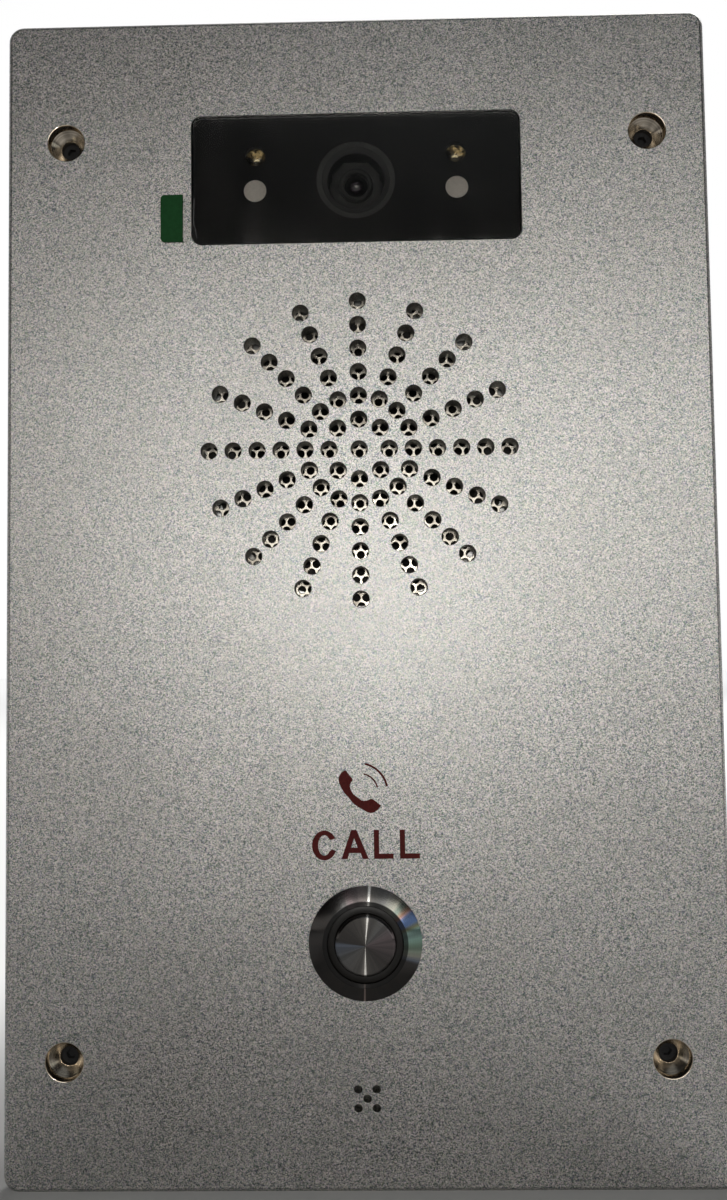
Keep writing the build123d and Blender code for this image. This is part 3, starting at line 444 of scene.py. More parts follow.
@dataclass(frozen=True)
class Clear(Finish):
    """Clear or tinted glass and plastic with a faint bloom of handling; the index is its refraction."""

    roughness: float = 0.03
    index: float = 1.5
    haze: float = 0.06

    def paint(self, recipe: Recipe) -> None:
        """Wires the finish's own nodes."""
        at = recipe.place()
        smear = recipe.noise(recipe.place(scale=(1.0, 1.0, 0.3), turn=25.0), 7.0, 4.0)
        fine = recipe.noise(at, 0.8, 2.0)
        tone = self.varied(recipe, fine, 0.03)
        rough = recipe.range(smear, 0.4, 0.75, self.roughness, self.roughness + self.haze)
        normal = recipe.bump(smear, 0.004, 0.2)
        recipe.surface(Base_Color=tone, Roughness=rough, Normal=normal)
        recipe.surface(IOR=self.index, Transmission_Weight=1.0)


@dataclass(frozen=True)
class Ink(Finish):
    """Screen-printed ink on a blasted face, whose grain shows through it."""

    grain: float = 0.30
    gloss: float = 0.15

    def paint(self, recipe: Recipe) -> None:
        """Wires the finish's own nodes."""
        at = recipe.place()
        grain = recipe.noise(at, self.grain, 2.0, 0.7)
        thin = recipe.noise(at, 1.6, 3.0)
        tone = self.varied(recipe, recipe.full(grain), 0.30)
        tone = recipe.blend(recipe.range(thin, 0.4, 0.75, 0.0, 0.25), tone, self.scaled(1.6, 0.02))
        normal = recipe.bump(grain, 0.01, 0.5)
        rough = recipe.full(thin, 0.5, 0.7)
        recipe.surface(Base_Color=tone, Roughness=rough, Normal=normal, Specular_IOR_Level=self.gloss)


@dataclass(frozen=True)
class Board(Finish):
    """A circuit board: copper tracks under solder mask, with tinned pads in rows."""

    pitch: float = 2.54
    track: float = 1.3

    def paint(self, recipe: Recipe) -> None:
        """Wires the finish's own nodes."""
        at = recipe.place()
        tracks = self.tracks(recipe, at, 0.8)
        crossing = self.tracks(recipe, recipe.place(turn=90.0), 1.0)
        area = recipe.range(recipe.noise(at, 16.0, 0.0), 0.48, 0.50)
        pattern = recipe.blend(area, tracks, crossing)
        pads = recipe.range(recipe.cells(at, self.pitch), 0.14, 0.17, 1.0, 0.0)
        tone = recipe.blend(pattern, self.colour, self.scaled(1.7, 0.01))
        tone = recipe.blend(pads, tone, (0.62, 0.60, 0.55))
        normal = recipe.bump(pattern, 0.05, 0.5)
        rough = recipe.full(recipe.noise(at, 3.0), 0.28, 0.42)
        tinned = recipe.maths("MULTIPLY", pads, 0.8)
        recipe.surface(Base_Color=tone, Roughness=rough, Normal=normal, Metallic=tinned)

    def tracks(self, recipe: Recipe, at: Socket, shift: float) -> Socket:
        """Parallel tracks that break off here and there."""
        across = recipe.add("SeparateXYZ", {0: at}).outputs["X"]
        wave = recipe.maths("SINE", recipe.maths("MULTIPLY", across, 2 * math.pi / (self.track * METRE)))
        cut = recipe.noise(recipe.place(scale=(1.0, 1.0, 0.25)), 3.0 * shift, 0.0)
        return recipe.maths("MULTIPLY", recipe.range(wave, 0.1, 0.3), recipe.range(cut, 0.44, 0.46))


# Painted reflection on the flange by angle: painted shade on the left and below, a rose highlight at the
# bottom, sheen colours on the right and a bright streak at the top.
FLANGE_PAINTED_SHEEN = (
    (-180.0, PaintedSheen.SHADE),
    (-92.6, PaintedSheen.SHADE),
    (-91.8, PaintedSheen.ROSE_HIGHLIGHT),
    (-91.0, PaintedSheen.ROSE_HIGHLIGHT),
    (-90.2, PaintedSheen.SHADE),
    (-22.0, PaintedSheen.SHADE),
    (-19.0, PaintedSheen.SLATE),
    (-14.0, PaintedSheen.SAGE),
    (-3.0, PaintedSheen.GREEN),
    (8.0, PaintedSheen.TEAL),
    (15.0, PaintedSheen.TEAL),
    (19.0, PaintedSheen.OLIVE),
    (24.0, PaintedSheen.BLUE),
    (33.0, PaintedSheen.BLUE),
    (38.0, PaintedSheen.COPPER),
    (44.0, PaintedSheen.MINT),
    (50.0, PaintedSheen.SAGE),
    (66.0, PaintedSheen.STEEL),
    (83.2, PaintedSheen.DARK),
    (83.9, PaintedSheen.STREAK_HIGHLIGHT),
    (85.8, PaintedSheen.STREAK_HIGHLIGHT),
    (86.5, PaintedSheen.DARK),
    (110.0, PaintedSheen.PLUM),
    (120.0, PaintedSheen.STEEL),
    (150.0, PaintedSheen.SHADE),
)
# Painted reflection on the cap by angle: bright streaks at the top and the bottom, painted shade at the
# sides.
CAP_PAINTED_SHEEN = (
    (-180.0, PaintedSheen.SLATE),
    (-155.0, PaintedSheen.STEEL),
    (-94.0, PaintedSheen.DARK),
    (-91.6, PaintedSheen.STREAK_HIGHLIGHT),
    (-89.6, PaintedSheen.STREAK_HIGHLIGHT),
    (-87.2, PaintedSheen.DARK),
    (-40.0, PaintedSheen.SHADE),
    (20.0, PaintedSheen.PLUM),
    (50.0, PaintedSheen.STEEL),
    (82.0, PaintedSheen.DARK),
    (84.0, PaintedSheen.STREAK_HIGHLIGHT),
    (85.8, PaintedSheen.STREAK_HIGHLIGHT),
    (87.8, PaintedSheen.DARK),
    (150.0, PaintedSheen.SHADE),
    (170.0, PaintedSheen.SHADE),
    (176.0, PaintedSheen.SLATE),
)


@dataclass(frozen=True)
class Palette:
    """Every finish of the object, by the part that wears it."""

    button_centre: Point
    lens_centre: Point
    fixing_centres: tuple[Point, ...]

    def make(self) -> Finishes:
        """Makes each finish once.

        Returns:
            The materials by the names of the record's slots, and a few of the scene's own.
        """
        finishes = (
            BlastedMetal("anodised_panel", (0.445, 0.442, 0.428)),
            PressedMetal("bright_steel", (0.40, 0.375, 0.33), roughness=0.22),
            # Both turned finishes carry a painted reflection by angle.
            TurnedMetal("turned_steel", grey(0.24), self.button_centre, rim=8.3, painted_sheen=FLANGE_PAINTED_SHEEN),
            TurnedMetal("turned_cap", grey(0.24), self.button_centre, painted_sheen=CAP_PAINTED_SHEEN),
            PressedMetal("zinc_steel", grey(0.60), roughness=0.34),
            Clear("tinted_pane", (0.92, 0.92, 0.90)),
            Clear("clear_film", (0.98, 0.98, 0.97), roughness=0.02, index=1.15, haze=0.01),
            Clear("lens", (0.16, 0.10, 0.16), roughness=0.05, index=2.0),
            Clear("lamp_plastic", (0.95, 0.92, 0.82), roughness=0.05, index=1.45),
            Moulded("frosted_plastic", (0.76, 0.70, 0.65), roughness=0.55, grain=0.3, relief=0.01),
            Moulded(
                "green_tape", (0.008, 0.062, 0.016), roughness=0.7, grain=0.8, relief=0.03, dust=0.03,
                gloss=0.15,
            ),
            Moulded(
                "black_film", grey(0.004), roughness=0.6, grain=0.3, relief=0.004, dust=0.02, gloss=0.3
            ),
            Moulded(
                "black_plastic", (0.014, 0.014, 0.015), roughness=0.5, grain=0.3, relief=0.02, dust=0.05
            ),
            Foam("foam_tape", grey(0.05), pore=0.3),
            Foam("foam_rubber", (0.012, 0.012, 0.013), pore=0.7),
            Foam("black_rubber", grey(0.022), pore=0.25, relief=0.03, roughness=0.8),
            Foam("ring_rubber", (0.042, 0.042, 0.043), pore=0.25, relief=0.02, roughness=0.6),
            Foam("paper_cone", (0.030, 0.028, 0.026), pore=1.1, relief=0.05, roughness=0.85),
            Moulded("ferrite", (0.05, 0.05, 0.055), roughness=0.6, grain=0.5, relief=0.03),
            Board("circuit_board", (0.006, 0.055, 0.020)),
            Moulded("chip_plastic", (0.018, 0.018, 0.019), roughness=0.42, grain=0.2, relief=0.01),
            PressedMetal("tinned_steel", (0.68, 0.68, 0.66), roughness=0.26),
            PressedMetal("gold_contacts", (0.83, 0.60, 0.22), roughness=0.2, stain=(0.45, 0.30, 0.10)),
            Moulded("green_plastic", (0.02, 0.20, 0.06), roughness=0.42, grain=0.4, relief=0.015),
            Moulded("blue_plastic", (0.02, 0.07, 0.28), roughness=0.38, grain=0.4, relief=0.015),
            Moulded("yellow_tape", (0.68, 0.45, 0.06), roughness=0.35, grain=1.2, relief=0.03),
            Moulded(
                "smoked_plastic", (0.010, 0.009, 0.008), roughness=0.35, grain=0.3, relief=0.01, dust=0.03,
                gloss=0.3,
            ),
            PressedMetal("spring_steel", grey(0.42), roughness=0.3),
            Foam("vent_film", (0.62, 0.61, 0.58), pore=0.12, relief=0.02, roughness=0.8),
            PressedMetal("capsule_metal", (0.60, 0.60, 0.58), roughness=0.3),
            Moulded("housing_plastic", (0.030, 0.031, 0.033), roughness=0.52, grain=0.6, relief=0.05),
            # a painted highlight: the grey of the light that the film's crease catches
            Moulded("crease_highlight", grey(0.07), roughness=0.5, grain=0.5, relief=0.01),
            Ink("call_ink", (0.085, 0.008, 0.007)),
            TurnedMetal("lamp_cup", (0.55, 0.48, 0.35), self.lens_centre, roughness=0.08, anisotropy=0.0),
        )
        bores = [
            TurnedMetal(
                f"bored_metal_{index}", (0.74, 0.66, 0.55), centre, roughness=0.16, groove=0.45, bands=4.0,
                spread=0.3, anisotropy=0.6, ring=0.85,
            )
            for index, centre in enumerate(self.fixing_centres)
        ]
        return {finish.name: finish.make() for finish in (*finishes, *bores)}


def put(name: str, data: bpy.types.ID) -> bpy.types.Object:
    """A new object in the scene."""
    made = bpy.data.objects.new(name, data)
    bpy.context.scene.collection.objects.link(made)
    return made


def around(centre: Point, across: float, up: float) -> list[Point]:
    """The four points at that reach from a centre, to both sides, below and above."""
    return [(centre[0] + x, centre[1] + z) for x in (-across, across) for z in (-up, up)]


def mouth(lip: float, face: float, end: float) -> list[Point]:
    """An eased hole from its face to its end: how far outside its size each level lies, and its depth."""
    deep = math.copysign(lip, end - face)
    return [(lip, face), (lip * EASE_BEND, face + deep * EASE_BEND), (0.0, face + deep), (0.0, end)]


def thread(
    crest: float, root: float, first: float, pitch: float, turns: int, shares: Sequence[float]
) -> list[Point]:
    """The profile of a screw thread.

    Args:
        crest: its outer radius.
        root: its inner radius.
        first: the depth at which it starts.
        pitch: how deep one turn is.
        turns: how many turns it has.
        shares: where in a turn the root starts and ends, and where the crest is reached again.

    Returns:
        The profile's corners, each a radius and a depth.
    """
    profile = []
    for top in (first + index * pitch for index in range(turns)):
        profile.append((crest, top))
        profile += [(radius, top + pitch * share) for radius, share in zip((root, root, crest), shares)]
    return profile


def facing(centre: Point, depth: float) -> Matrix:
    """The place of a flat shape that faces the viewer, in millimetres."""
    return Matrix.Translation((centre[0], depth, centre[1])) @ Matrix.Rotation(math.radians(90), 4, "X")


class Shape:
    """A mesh in the making, in millimetres: X to the right, Z up, and Y from the front backwards."""

    def __init__(self) -> None:
        """Starts with nothing."""
        self.mesh = bmesh.new()

    def circle(self, centre: Point, radius: float, depth: float, sides: int) -> Edges:
        """A round loop of edges."""
        made = bmesh.ops.create_circle(
            self.mesh, cap_ends=False, segments=sides, radius=radius, matrix=facing(centre, depth)
        )
        return list({edge for vertex in made["verts"] for edge in vertex.link_edges})

    def rounded(
        self, centre: Point, width: float, height: float, radius: float, depth: float, bends: int = 8
    ) -> Edges:
        """A rectangular loop of edges with round corners, each in a number of bends."""
        place = facing(centre, depth) @ Matrix.Diagonal((width, height, 1.0, 1.0))
        made = bmesh.ops.create_grid(self.mesh, x_segments=1, y_segments=1, size=0.5, matrix=place)
        bent = bmesh.ops.bevel(
            self.mesh, geom=made["verts"], offset=radius, segments=bends, profile=0.5, affect="VERTICES",
            material=-1,
        )
        face = next(f for f in {f for v in bent["verts"] for f in v.link_faces})
        edges = list(face.edges)
        bmesh.ops.delete(self.mesh, geom=[face], context="FACES_ONLY")
        return edges

    def loop(self, outline: Sequence[Point], depth: float) -> Edges:
        """A closed loop of edges through the corners of an outline."""
        corners = [self.mesh.verts.new((x, depth, z)) for x, z in outline]
        return [self.mesh.edges.new(pair) for pair in zip(corners, corners[1:] + corners[:1])]

    def wall(self, loops: Sequence[Edges], slot: int = 0) -> None:
        """Joins each loop to the next with a strip of faces that wears one material slot."""
        for first, second in zip(loops, loops[1:]):
            for face in bmesh.ops.bridge_loops(self.mesh, edges=first + second)["faces"]:
                face.smooth = True
                face.material_index = slot

    def sleeve(self, centre: Point, levels: Sequence[Point], sides: int, slot: int = 0) -> None:
        """A round wall through levels, each a radius and a depth."""
        self.wall([self.circle(centre, radius, depth, sides) for radius, depth in levels], slot)

    def frame(self, centre: Point, size: Size, levels: Sequence[Point], bends: int = 8) -> None:
        """A rectangular wall with round corners.

        Args:
            centre: its middle, across and up.
            size: its width, height and corner radius.
            levels: how far outside that size each loop lies, and its depth.
            bends: how many bends each corner has.
        """
        width, height, radius = size
        self.wall(
            [
                self.rounded(centre, width + 2 * out, height + 2 * out, radius + out, depth, bends)
                for out, depth in levels
            ]
        )

    def open_edges(self) -> Edges:
        """The edges that could still take a face."""
        return [edge for edge in self.mesh.edges if len(edge.link_faces) < 2]

    def span(self, rim: Edges) -> None:
        """Fills the flat area between some edges."""
        bmesh.ops.triangle_fill(self.mesh, use_beauty=True, use_dissolve=False, edges=rim)

    def fill(self, *depths: float) -> None:
        """Fills the flat area between all open loops at each depth."""
        for depth in depths:
            self.span([e for e in self.open_edges() if all(abs(v.co.y - depth) < WELD for v in e.verts)])

    def turn(self, centre: Point, profile: Sequence[Point], steps: int = 96) -> None:
        """Turns a profile about an axis through a centre.

        Args:
            centre: where the axis stands, across and up.
            profile: a radius and a depth for each corner of the profile.
            steps: how many steps make the full turn.
        """
        before = set(self.mesh.faces)
        corners = [self.mesh.verts.new((centre[0] + radius, depth, centre[1])) for radius, depth in profile]
        edges = [self.mesh.edges.new(pair) for pair in zip(corners, corners[1:])]
        bmesh.ops.spin(
            self.mesh, geom=corners + edges, cent=(centre[0], 0.0, centre[1]), axis=Axis.BACKWARDS.value,
            angle=2 * math.pi, steps=steps, use_merge=True,
        )
        for face in set(self.mesh.faces) - before:
            face.smooth = True

    def box(self, centre: Sequence[float], size: Sequence[float]) -> None:
        """A plain block."""
        place = Matrix.Translation(centre) @ Matrix.Diagonal((*size, 1.0))
        bmesh.ops.create_cube(self.mesh, size=1.0, matrix=place)

    def shift(self, geometry: Sequence[object], way: Sequence[float]) -> None:
        """Moves the corners that are among some geometry."""
        moved = [piece for piece in geometry if isinstance(piece, bmesh.types.BMVert)]
        bmesh.ops.translate(self.mesh, verts=moved, vec=way)

    def thicken(self, depth: float) -> None:
        """Draws all faces out into a solid, backwards by a depth."""
        drawn = bmesh.ops.extrude_face_region(self.mesh, geom=self.mesh.faces[:])["geom"]
        self.shift(drawn, (0.0, depth, 0.0))

    def slab(self, outlines: Sequence[Sequence[Point]], front: float, back: float) -> None:
        """A flat piece between two depths, edged by each outline; outlines inside others are holes."""
        for outline in outlines:
            self.loop(outline, back)
        self.fill(back)
        self.thicken(front - back)

    def copies(self, places: Sequence[Point]) -> None:
        """Copies all that has been made so far to each place, and keeps the first where it is."""
        pattern = self.mesh.verts[:] + self.mesh.edges[:] + self.mesh.faces[:]
        for across, up in places:
            self.shift(bmesh.ops.duplicate(self.mesh, geom=pattern)["geom"], (across, 0.0, up))

    def weld(self, reach: float) -> None:
        """Makes one corner of all that lie within a reach."""
        bmesh.ops.remove_doubles(self.mesh, verts=self.mesh.verts[:], dist=reach)

    def piece(
        self,
        name: str,
        finishes: Sequence[Material],
        body: str = STATION,
        slot: Optional[str] = None,
        replaces: Sequence[str] = (),
        merge: float = WELD,
        between: Optional[tuple[Vector, Vector]] = None,
    ) -> None:
        """Makes the object, rides it on its body and reports it.

        Args:
            name: the piece's name.
            finishes: a material for each slot.
            body: the body that it rides on.
            slot: the record's material slot; not used.
            replaces: the solids that it stands for.
            merge: the distance within which corners become one, in millimetres.
            between: for the spring, two points in millimetres; when given, the piece keeps its place and
                rides on no body, and the points themselves are not used.
        """
        self.weld(merge)
        bmesh.ops.recalc_face_normals(self.mesh, faces=self.mesh.faces[:])
        bmesh.ops.scale(self.mesh, vec=(METRE,) * 3, verts=self.mesh.verts[:])
        open_edges = sum(1 for edge in self.mesh.edges if len(edge.link_faces) != 2)
        data = bpy.data.meshes.new(name)
        self.mesh.to_mesh(data)
        self.mesh.free()
        data.set_sharp_from_angle(angle=SHARP_TURN)
        for polygon in data.polygons:
            polygon.use_smooth = abs(polygon.normal.y) < LEVEL_NORMAL
        for finish in finishes:
            data.materials.append(finish)
        made = put(name, data)
        if between:
            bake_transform(made)
        else:
            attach(made, body)
        if replaces:
            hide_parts(*replaces)
        log.info("%s: %d faces, %d open edges, rides on %s", name, len(data.polygons), open_edges, body)

    def stand_in(self, name: str, finishes: Finishes, slot: str, node: str, **options: object) -> None:
        """Makes the object in the place of one node, in the finish of the node's material slot."""
        self.piece(name, [finishes[slot]], slot=slot, replaces=[node], **options)


@dataclass(frozen=True)
class FrontPlate:
    """The machined front plate: edges, window pocket, grille, button hole, microphone and fixing holes."""

    width: float = 141.5
    height: float = 232.5
    thickness: float = 5.0
    corner: float = 3.0
    chamfer: float = 0.8
    window_centre: Point = (0.0, 83.2)
    pocket: Size = (66.6, 26.7, 2.1)
    ledge: Size = (59.4, 19.5, 0.5)
    pocket_floor: float = -2.4
    grille_centre: Point = (0.0, 27.8)
    grille_hole: float = 3.3
    first_ring: float = 6.0
    rings: tuple[float, ...] = (10.8, 15.6, 20.4, 25.2, 30.0)
    ring_holes: int = 16
    button_centre: Point = (0.0, -69.0)
    button_hole: float = 19.2
    microphone_centre: Point = (0.0, -98.7)
    microphone_hole: float = 1.6
    microphone_step: float = 3.55
    fixing_reach: Point = (58.8, 91.5)
    head: float = 7.4
    head_floor: float = -2.6
    cone_floor: float = -1.49
    through: float = 3.7

    @property
    def front(self) -> float:
        """The depth of the plate's face."""
        return -self.thickness

    def fixing_centres(self) -> tuple[Point, ...]:
        """The middles of the four fixing holes."""
        across, up = self.fixing_reach
        return ((-across, up), (across, up), (-across, -up), (across, -up))

    def grille_places(self) -> list[Point]:
        """The middles of the grille's holes, as steps from its centre."""
        half = self.ring_holes // 2
        rings = [(self.first_ring, half)] + [(radius, self.ring_holes) for radius in self.rings]
        return [
            (radius * math.cos(2 * math.pi * index / count), radius * math.sin(2 * math.pi * index / count))
            for radius, count in rings
            for index in range(count)
        ]

    def hole(self, shape: Shape, centre: Point, diameter: float, sides: int, lip: float = 0.12) -> None:
        """A round hole through the plate with an eased mouth."""
        levels = [(diameter / 2 + out, depth) for out, depth in mouth(lip, self.front, 0.0)]
        shape.sleeve(centre, levels, sides)

    def grille(self) -> Shape:
        """The walls of all the grille's holes."""
        shape = Shape()
        self.hole(shape, self.grille_centre, self.grille_hole, sides=32)
        shape.copies(self.grille_places())
        return shape

    def fixing(self, shape: Shape, centre: Point, slot: int) -> None:
        """A counterbored fixing hole, with the drill's cone at its foot."""
        head, through, ease = self.head / 2, self.through / 2, 0.15
        levels = (
            (head + 0.16, self.front),
            (head + 0.05, self.front + 0.04),
            (head, self.front + ease),
            (head, self.head_floor - ease),
            (head - ease, self.head_floor),
            (through + 0.08, self.cone_floor - 0.05),
            (through, self.cone_floor + 0.06),
            (through, 0.0),
        )
        shape.sleeve(centre, levels, sides=64, slot=slot)

    def outline(self, shape: Shape) -> None:
        """The plate's edge: a chamfer with softened sides, and the flat edge behind it."""
        soft, rear = 0.12, 0.2
        levels = (
            (self.chamfer + soft * 0.7, 0.0),
            (self.chamfer - soft * 0.5, soft * 0.3),
            (soft * 0.3, self.chamfer - soft * 0.5),
            (0.0, self.chamfer + soft * 0.7),
            (0.0, self.thickness - rear),
            (rear, self.thickness),
        )
        size = (self.width, self.height, self.corner)
        shape.frame((0.0, 0.0), size, [(-inset, self.front + deep) for inset, deep in levels])

    def window(self, shape: Shape) -> None:
        """The pocket of the window's pane, and the opening behind its ledge."""
        shape.frame(self.window_centre, self.pocket, mouth(lip=0.1, face=self.front, end=self.pocket_floor))
        shape.frame(self.window_centre, self.ledge, ((0.0, self.pocket_floor), (0.0, 0.0)))
        shape.fill(self.pocket_floor)

    def build(self, finishes: Finishes) -> None:
        """Builds the plate in place of its solid."""
        shape = self.grille()
        self.outline(shape)
        self.window(shape)
        self.hole(shape, self.button_centre, self.button_hole, sides=72)
        across, up = self.microphone_centre
        half = self.microphone_step / 2
        for x, z in ((0.0, 0.0), (-half, half), (half, half), (-half, -half), (half, -half)):
            self.hole(shape, (across + x, up + z), self.microphone_hole, sides=24, lip=0.08)
        for slot, centre in enumerate(self.fixing_centres(), start=1):
            self.fixing(shape, centre, slot)
        shape.fill(self.front, 0.0)
        worn = [finishes["anodised_panel"]]
        worn += [finishes[f"bored_metal_{index}"] for index in range(len(self.fixing_centres()))]
        shape.piece("front_plate", worn, slot="anodised_panel", replaces=["front_panel"])


@dataclass(frozen=True)
class GuardSheet:
    """The perforated sheet behind the grille: round holes in staggered rows."""

    centre: Point = (0.0, 27.8)
    side: float = 72.0
    thickness: float = 0.8
    pitch: float = 2.0
    hole: float = 1.46
    reach: float = 32.4
    cell_gap: float = 0.02
    stud_reach: float = 31.0
    stud_hole: float = 3.4

    def cell(self) -> Shape:
        """One hole with its drawn-in lip, in its share of the sheet, a hexagon."""
        shape = Shape()
        lip = ((0.0, 0.17), (0.05, 0.07), (0.13, 0.0))
        shape.sleeve(self.centre, [(self.hole / 2 + out, deep) for out, deep in lip], sides=12)
        shape.circle(self.centre, self.pitch / math.sqrt(3), 0.0, sides=6)
        shape.fill(0.0)
        return shape

    def places(self) -> list[Point]:
        """The middles of the holes, as steps from the centre, which is left out."""
        row_step = self.pitch * math.sqrt(3) / 2
        rows = int(self.reach // row_step)
        found = []
        for row in range(-rows, rows + 1):
            shift = self.pitch / 2 if row % 2 else 0.0
            for column in range(-rows - 1, rows + 2):
                place = (shift + column * self.pitch, row * row_step)
                if 0 < math.hypot(*place) <= self.reach:
                    found.append(place)
        return found

    def build(self, finishes: Finishes) -> None:
        """Builds the sheet in place of its solid."""
        shape = self.cell()
        shape.copies(self.places())
        shape.weld(self.cell_gap)
        holes = {edge for edge in shape.mesh.edges if self.is_hole(edge)}
        shape.rounded(self.centre, self.side, self.side, radius=1.0, depth=0.0, bends=3)
        for stud in around(self.centre, self.stud_reach, self.stud_reach):
            shape.circle(stud, self.stud_hole / 2, 0.0, sides=16)
        shape.span([edge for edge in shape.open_edges() if edge not in holes])
        shape.thicken(self.thickness)
        shape.stand_in("guard_sheet", finishes, "bright_steel", "speaker_guard", merge=1e-3)

    def is_hole(self, edge: bmesh.types.BMEdge) -> bool:
        """Whether an edge is a hole's own, which is open and shorter than the sides of a cell."""
        return len(edge.link_faces) == 1 and edge.calc_length() < self.pitch / 4


@dataclass(frozen=True)
class CameraWindow:
    """The window's pane, its printed mask, and the film with its pull tab."""

    centre: Point = (0.0, 83.2)
    size: Size = (66.4, 26.5, 2.0)
    front: float = -5.0
    back: float = -3.05
    mask_front: float = -3.0
    mask_back: float = -2.8
    film_front: float = -5.06
    film_back: float = -5.03
    film_width: float = 65.4
    film_height: float = 25.5
    strip_end: float = -38.9
    strip_low: float = 70.5
    strip_high: float = 80.1
    ring: float = 16.0
    lamp_place: Point = (20.4, 5.3)
    lamp_hole: float = 4.1
    pipe_place: Point = (20.5, -1.9)
    pipe_hole: float = 4.6

    def pair(self, place: Point) -> list[Point]:
        """The two mirrored middles that a step from the window's centre leads to."""
        return [(self.centre[0] + side * place[0], self.centre[1] + place[1]) for side in (-1, 1)]

    def openings(self) -> list[tuple[Point, float]]:
        """The middles and diameters of the mask's openings."""
        found = [(self.centre, self.ring)]
        for place, size in ((self.lamp_place, self.lamp_hole), (self.pipe_place, self.pipe_hole)):
            found += [(centre, size) for centre in self.pair(place)]
        return found

    def pane(self, finishes: Finishes) -> None:
        """The tinted pane, with eased edges."""
        shape = Shape()
        ease = 0.06
        bend = ease * EASE_BEND
        levels = (
            (-ease, self.front), (-bend, self.front + bend), (0.0, self.front + ease),
            (0.0, self.back - ease), (-ease, self.back),
        )
        shape.frame(self.centre, self.size, levels)
        shape.fill(self.front, self.back)
        shape.stand_in("window_pane", finishes, "tinted_pane", "camera_window")

    def mask(self, finishes: Finishes) -> None:
        """The black mask behind the pane."""
        shape = Shape()
        gap = 0.05
        depths = (self.mask_front, self.mask_back)
        shape.frame(self.centre, self.size, [(-gap, depth) for depth in depths])
        for centre, size in self.openings():
            shape.sleeve(centre, [(size / 2, depth) for depth in depths], sides=64)
        shape.fill(*depths)
        shape.stand_in("printed_mask", finishes, "black_film", "window_mask")

    def film(self, finishes: Finishes) -> None:
        """The clear film with its strip to the tab, and a faint grey strip along the crease where the two
        meet, a painted highlight of the light that the crease catches.
        """
        across, up = self.film_width / 2, self.film_height / 2
        high, low = self.centre[1] + up, self.centre[1] - up
        cut = 1.2
        outline = (
            (-across + cut, high), (across - cut, high), (across, high - cut), (across, low + cut),
            (across - cut, low), (-across + cut, low), (-across, self.strip_low),
            (self.strip_end, self.strip_low), (self.strip_end, self.strip_high), (-across, self.strip_high),
            (-across, high - cut),
        )
        sheet = Shape()
        sheet.slab([outline], self.film_front, self.film_back)
        sheet.stand_in("film_sheet", finishes, "clear_film", "protective_film")
        # painted highlight along the crease
        crease = Shape()
        half = 0.08
        bend = ((-32.72, 79.4), (-32.82, 76.4), (-32.86, 74.1), (-32.52, 73.2), (-32.2, 71.2))
        left = [(x - half, z) for x, z in bend]
        right = [(x + half, z) for x, z in reversed(bend)]
        crease.slab([left + right], self.film_front - 0.06, self.film_front - 0.01)
        crease.piece("film_crease_highlight", [finishes["crease_highlight"]], slot="clear_film")

    def build(self, finishes: Finishes) -> None:
        """Builds the pane, the mask and the film."""
        self.pane(finishes)
        self.mask(finishes)
        self.film(finishes)


